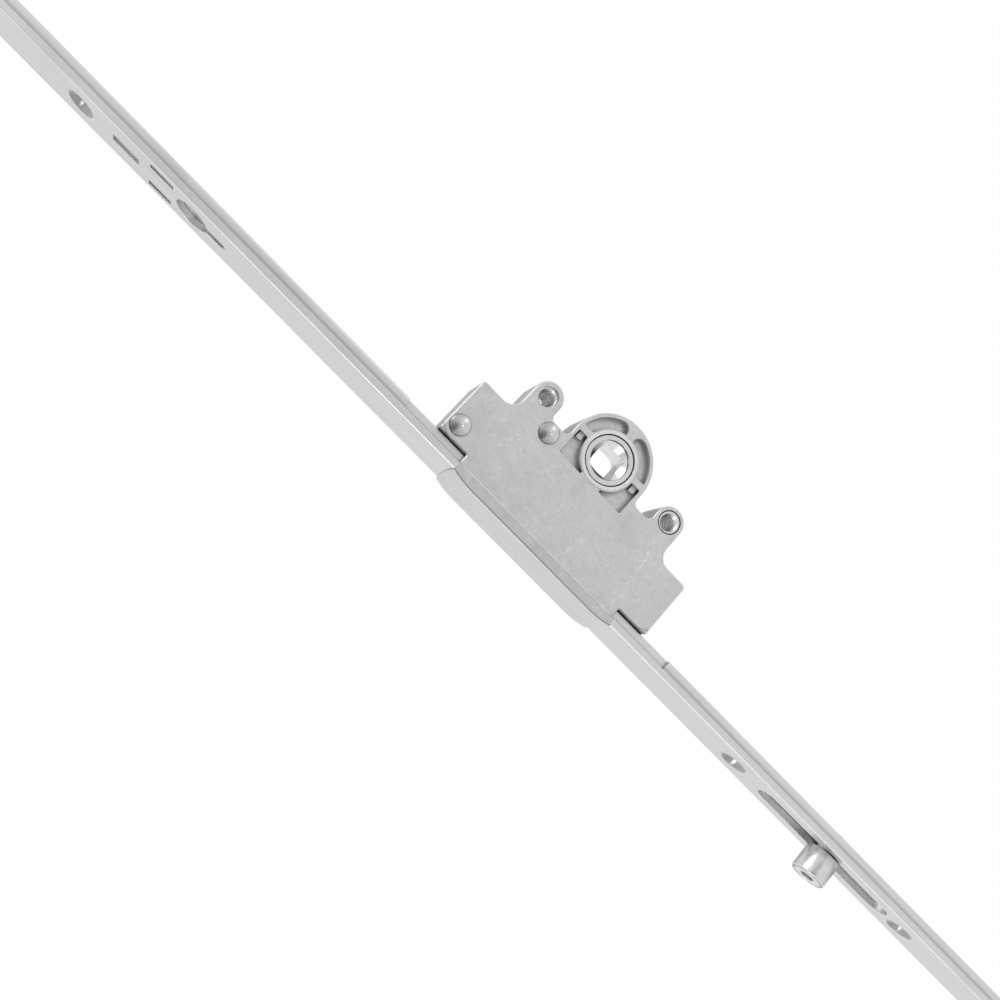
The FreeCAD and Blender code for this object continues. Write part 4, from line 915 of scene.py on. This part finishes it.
class ESPAGNOLETTE_OT_model_roller(bpy.types.Operator):
    """Model the roller and dress the stud that carries it"""

    bl_idname = "espagnolette.model_roller"
    bl_label = "Model the roller"

    def execute(self, context):
        settings = context.scene.espagnolette_roller
        colour = tuple(context.scene.espagnolette_steel.turned_colour)
        low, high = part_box("cam_roller")
        centre = Vector((high.x, (low.y + high.y) / 2, (low.z + high.z) / 2))
        radius = (high.y - low.y) / 2
        rim = (radius + settings.head_bore) / 2
        profile = roller_profile(settings, high.x - low.x, radius, rim)
        roller = turned("cam_roller_turned", centre, -AXIS_X, profile, hollow=True, corners=96)
        # Painted shade: a dark ring along the groove round the end face.
        spread = settings.rim_groove * 1.2
        ring = ((rim - spread, 0.5), (rim + spread, 2.0))
        # Painted shade in corners reaches 0.7 mm on the roller, darkening it next to the faceplate.
        steel = turned_steel("bright_roller", colour, centre, AXIS_X, shine=0.31, bands=ring,
                             reach=0.7 * MM, corner_shade_level=0.42)
        stand_for(roller, "cam_roller", "roller", steel)
        # Painted light: the stud is lifted a little paler in its shaded socket.
        stud = turned_steel("turned_stud", scaled(colour, 1.08), middle_of("cam_stud"), AXIS_X,
                            shine=0.45, corner_shade_level=0.8)
        dress(["cam_stud"], stud)
        return {"FINISHED"}


class ESPAGNOLETTE_OT_dress_rail(bpy.types.Operator):
    """Rolled steel on the faceplates and the nose cover"""

    bl_idname = "espagnolette.dress_rail"
    bl_label = "Dress the rail"

    def execute(self, context):
        steel = context.scene.espagnolette_steel
        colour = tuple(steel.plate_colour)
        strip = rolled_steel("plated_strip", colour, steel, strip_painted_light)
        dress(["faceplate_upper", "faceplate_lower"], strip)
        cover = rolled_steel("plated_cover", scaled(colour, 0.95), steel, cover_joint_shade)
        dress(["nose_cover"], cover)
        return {"FINISHED"}


class ESPAGNOLETTE_OT_dress_drive(bpy.types.Operator):
    """Rolled steel on the drive rods and the rack slider"""

    bl_idname = "espagnolette.dress_drive"
    bl_label = "Dress the drive rods"

    def execute(self, context):
        steel = context.scene.espagnolette_steel
        material = rolled_steel("plated_rod", tuple(steel.rod_colour), steel, rod_details)
        dress(["drive_rod_upper", "drive_rod_lower", "rack_slider", "rod_rivets"], material)
        return {"FINISHED"}


class ESPAGNOLETTE_OT_dress_gearbox(bpy.types.Operator):
    """Cast zinc on the case, hub and idler, and steel on the axle"""

    bl_idname = "espagnolette.dress_gearbox"
    bl_label = "Dress the gearbox"

    def execute(self, context):
        cast = context.scene.espagnolette_cast
        dress(["case_front", "case_back"], cast_zinc("cast_case", tuple(cast.case_colour), cast))
        dress(["hub"], hub_zinc("cast_hub", tuple(cast.hub_colour), cast))
        dress(["idler_gear"], cast_zinc("cast_gear", tuple(cast.case_colour), cast, 0.08 * MM))
        steel = context.scene.espagnolette_steel
        axle = turned_steel("turned_axle", tuple(steel.turned_colour), middle_of("idler_axle"), AXIS_Y)
        dress(["idler_axle"], axle)
        return {"FINISHED"}


# Stage


class ESPAGNOLETTE_OT_set_stage(bpy.types.Operator):
    """Camera, pale floor and backdrop, and soft studio lights"""

    bl_idname = "espagnolette.set_stage"
    bl_label = "Set the stage"

    def execute(self, context):
        stage = context.scene.espagnolette_stage
        context.scene.view_settings.view_transform = "Standard"
        add_camera(stage)
        add_backdrop(stage)
        add_surround(stage)
        add_light("side_light", stage.side_light, size=0.6, way=Vector((-0.90, -0.38, -0.16)))
        add_light("top_light", stage.top_light, size=0.5, way=Vector((0.22, -0.36, 0.90)))
        add_light("right_light", stage.right_light, size=0.45, way=Vector((0.78, -0.55, -0.28)))
        return {"FINISHED"}


def add_camera(stage):
    """Camera at the photo's angle, turned about its line of sight."""
    place = Vector(stage.camera_place)
    ahead = (Vector(stage.camera_aim) - place).normalized()
    level_right = ahead.cross(AXIS_Z).normalized()
    level_up = level_right.cross(ahead)
    up = level_up * cos(stage.camera_roll) + level_right * sin(stage.camera_roll)
    right = ahead.cross(up)
    data = bpy.data.cameras.new("camera")
    data.sensor_width = 36
    data.lens = stage.lens
    data.clip_start = 5 * MM
    camera = bpy.data.objects.new("camera", data)
    axes = Matrix((right, up, -ahead)).transposed()
    camera.matrix_world = Matrix.Translation(place) @ axes.to_4x4()
    bpy.context.scene.collection.objects.link(camera)
    bpy.context.scene.camera = camera


def shown_white(finish):
    """Share that is one for camera, glossy and transmission rays."""
    camera = finish.node("ShaderNodeLightPath", output="Is Camera Ray")
    glossy = finish.node("ShaderNodeLightPath", output="Is Glossy Ray")
    through = finish.node("ShaderNodeLightPath", output="Is Transmission Ray")
    seen = finish.node("ShaderNodeMath", {"operation": "MAXIMUM"}, {0: camera, 1: glossy})
    return finish.node("ShaderNodeMath", {"operation": "MAXIMUM"}, {0: seen, 1: through})


def add_backdrop(stage):
    """Pale floor just under the rail's lower end, which keeps the object's shadow."""
    gap = 1 * MM
    glow_share = 0.97
    bpy.ops.object.select_all(action="DESELECT")
    bpy.ops.mesh.primitive_plane_add(size=6, location=(0, 0, CAD_BOX[0].z - gap))
    floor = bpy.context.active_object
    floor.name = "floor"
    finish = Finish(bpy.data.materials.new("pale_floor"))
    share = shown_white(finish) * glow_share
    glow = finish.node("ShaderNodeEmission", {}, {"Color": (1, 1, 1), "Strength": 1.0})
    plain = finish.node("ShaderNodeBsdfDiffuse", {}, {"Color": tuple(stage.backdrop_colour)})
    surface = finish.node("ShaderNodeMixShader", {}, {0: share, 1: plain, 2: glow})
    finish.node("ShaderNodeOutputMaterial", {}, {"Surface": surface})
    floor.data.materials.append(finish.block)


def grey_card(finish, way, start, full):
    """Share of a soft round card that hangs one way from the object, from its rim to its full grey."""
    spot = finish.node("ShaderNodeTexCoord", output="Generated")
    facing = finish.node("ShaderNodeVectorMath", {"operation": "DOT_PRODUCT"},
                         {0: spot, 1: tuple(way.normalized())}, output="Value")
    card = finish.ramp(facing, (start, 0.0), (full, 1.0))
    card.socket.node.color_ramp.interpolation = "EASE"
    return card


def add_surround(stage):
    """White world, with two soft grey cards that only gloss shows."""
    world = bpy.data.worlds.new("white_surround")
    bpy.context.scene.world = world
    finish = Finish(world)
    seen = shown_white(finish)
    glossy = finish.node("ShaderNodeLightPath", output="Is Glossy Ray")
    near_card = grey_card(finish, Vector((-0.40, -0.90, -0.12)), start=0.60, full=0.97)
    far_card = grey_card(finish, Vector((0.36, 0.92, 0.16)), start=0.80, full=0.97)
    level = 1 - glossy * (near_card * (1 - stage.grey_card) + far_card * (1 - stage.far_card))
    light = finish.node("ShaderNodeBackground", {}, {"Color": (1, 1, 1), "Strength": stage.surround_light})
    white = finish.node("ShaderNodeBackground", {}, {"Color": (1, 1, 1), "Strength": level})
    surface = finish.node("ShaderNodeMixShader", {}, {0: seen, 1: light, 2: white})
    finish.node("ShaderNodeOutputWorld", {}, {"Surface": surface})


def add_light(name, power, size, way):
    """Square soft light that hangs one way from the object and points at it."""
    distance = 0.9
    aim = (CAD_BOX[0] + CAD_BOX[1]) / 2
    data = bpy.data.lights.new(name, "AREA")
    data.energy = power
    data.size = size
    light = bpy.data.objects.new(name, data)
    light.location = aim + way.normalized() * distance
    light.rotation_euler = (-way).to_track_quat("-Z", "Y").to_euler()
    light.visible_camera = False
    bpy.context.scene.collection.objects.link(light)


# Panel and registration


class ESPAGNOLETTE_PT_panel(bpy.types.Panel):
    """Steps of the espagnolette, in the order in which they are made"""

    bl_label = "Espagnolette"
    bl_idname = "ESPAGNOLETTE_PT_panel"
    bl_space_type = "VIEW_3D"
    bl_region_type = "UI"
    bl_category = "Espagnolette"

    def draw(self, context):
        for step in STEPS:
            self.layout.operator(step.bl_idname)


STEPS = (
    ESPAGNOLETTE_OT_model_rivets,
    ESPAGNOLETTE_OT_model_inserts,
    ESPAGNOLETTE_OT_model_bushes,
    ESPAGNOLETTE_OT_model_roller,
    ESPAGNOLETTE_OT_dress_rail,
    ESPAGNOLETTE_OT_dress_drive,
    ESPAGNOLETTE_OT_dress_gearbox,
    ESPAGNOLETTE_OT_set_stage,
)
SETTINGS = {
    "espagnolette_cast": CastSettings,
    "espagnolette_steel": SteelSettings,
    "espagnolette_rivet": RivetSettings,
    "espagnolette_thread": ThreadSettings,
    "espagnolette_roller": RollerSettings,
    "espagnolette_bush": BushSettings,
    "espagnolette_stage": StageSettings,
}


def register():
    for group in SETTINGS.values():
        bpy.utils.register_class(group)
    for name, group in SETTINGS.items():
        setattr(bpy.types.Scene, name, PointerProperty(type=group))
    for step in STEPS:
        bpy.utils.register_class(step)
    bpy.utils.register_class(ESPAGNOLETTE_PT_panel)


def unregister():
    bpy.utils.unregister_class(ESPAGNOLETTE_PT_panel)
    for step in reversed(STEPS):
        bpy.utils.unregister_class(step)
    for name in SETTINGS:
        delattr(bpy.types.Scene, name)
    for group in SETTINGS.values():
        bpy.utils.unregister_class(group)


def main():
    register()
    for step in STEPS:
        family, action = step.bl_idname.split(".")
        getattr(getattr(bpy.ops, family), action)()


if __name__ == "__main__":
    main()
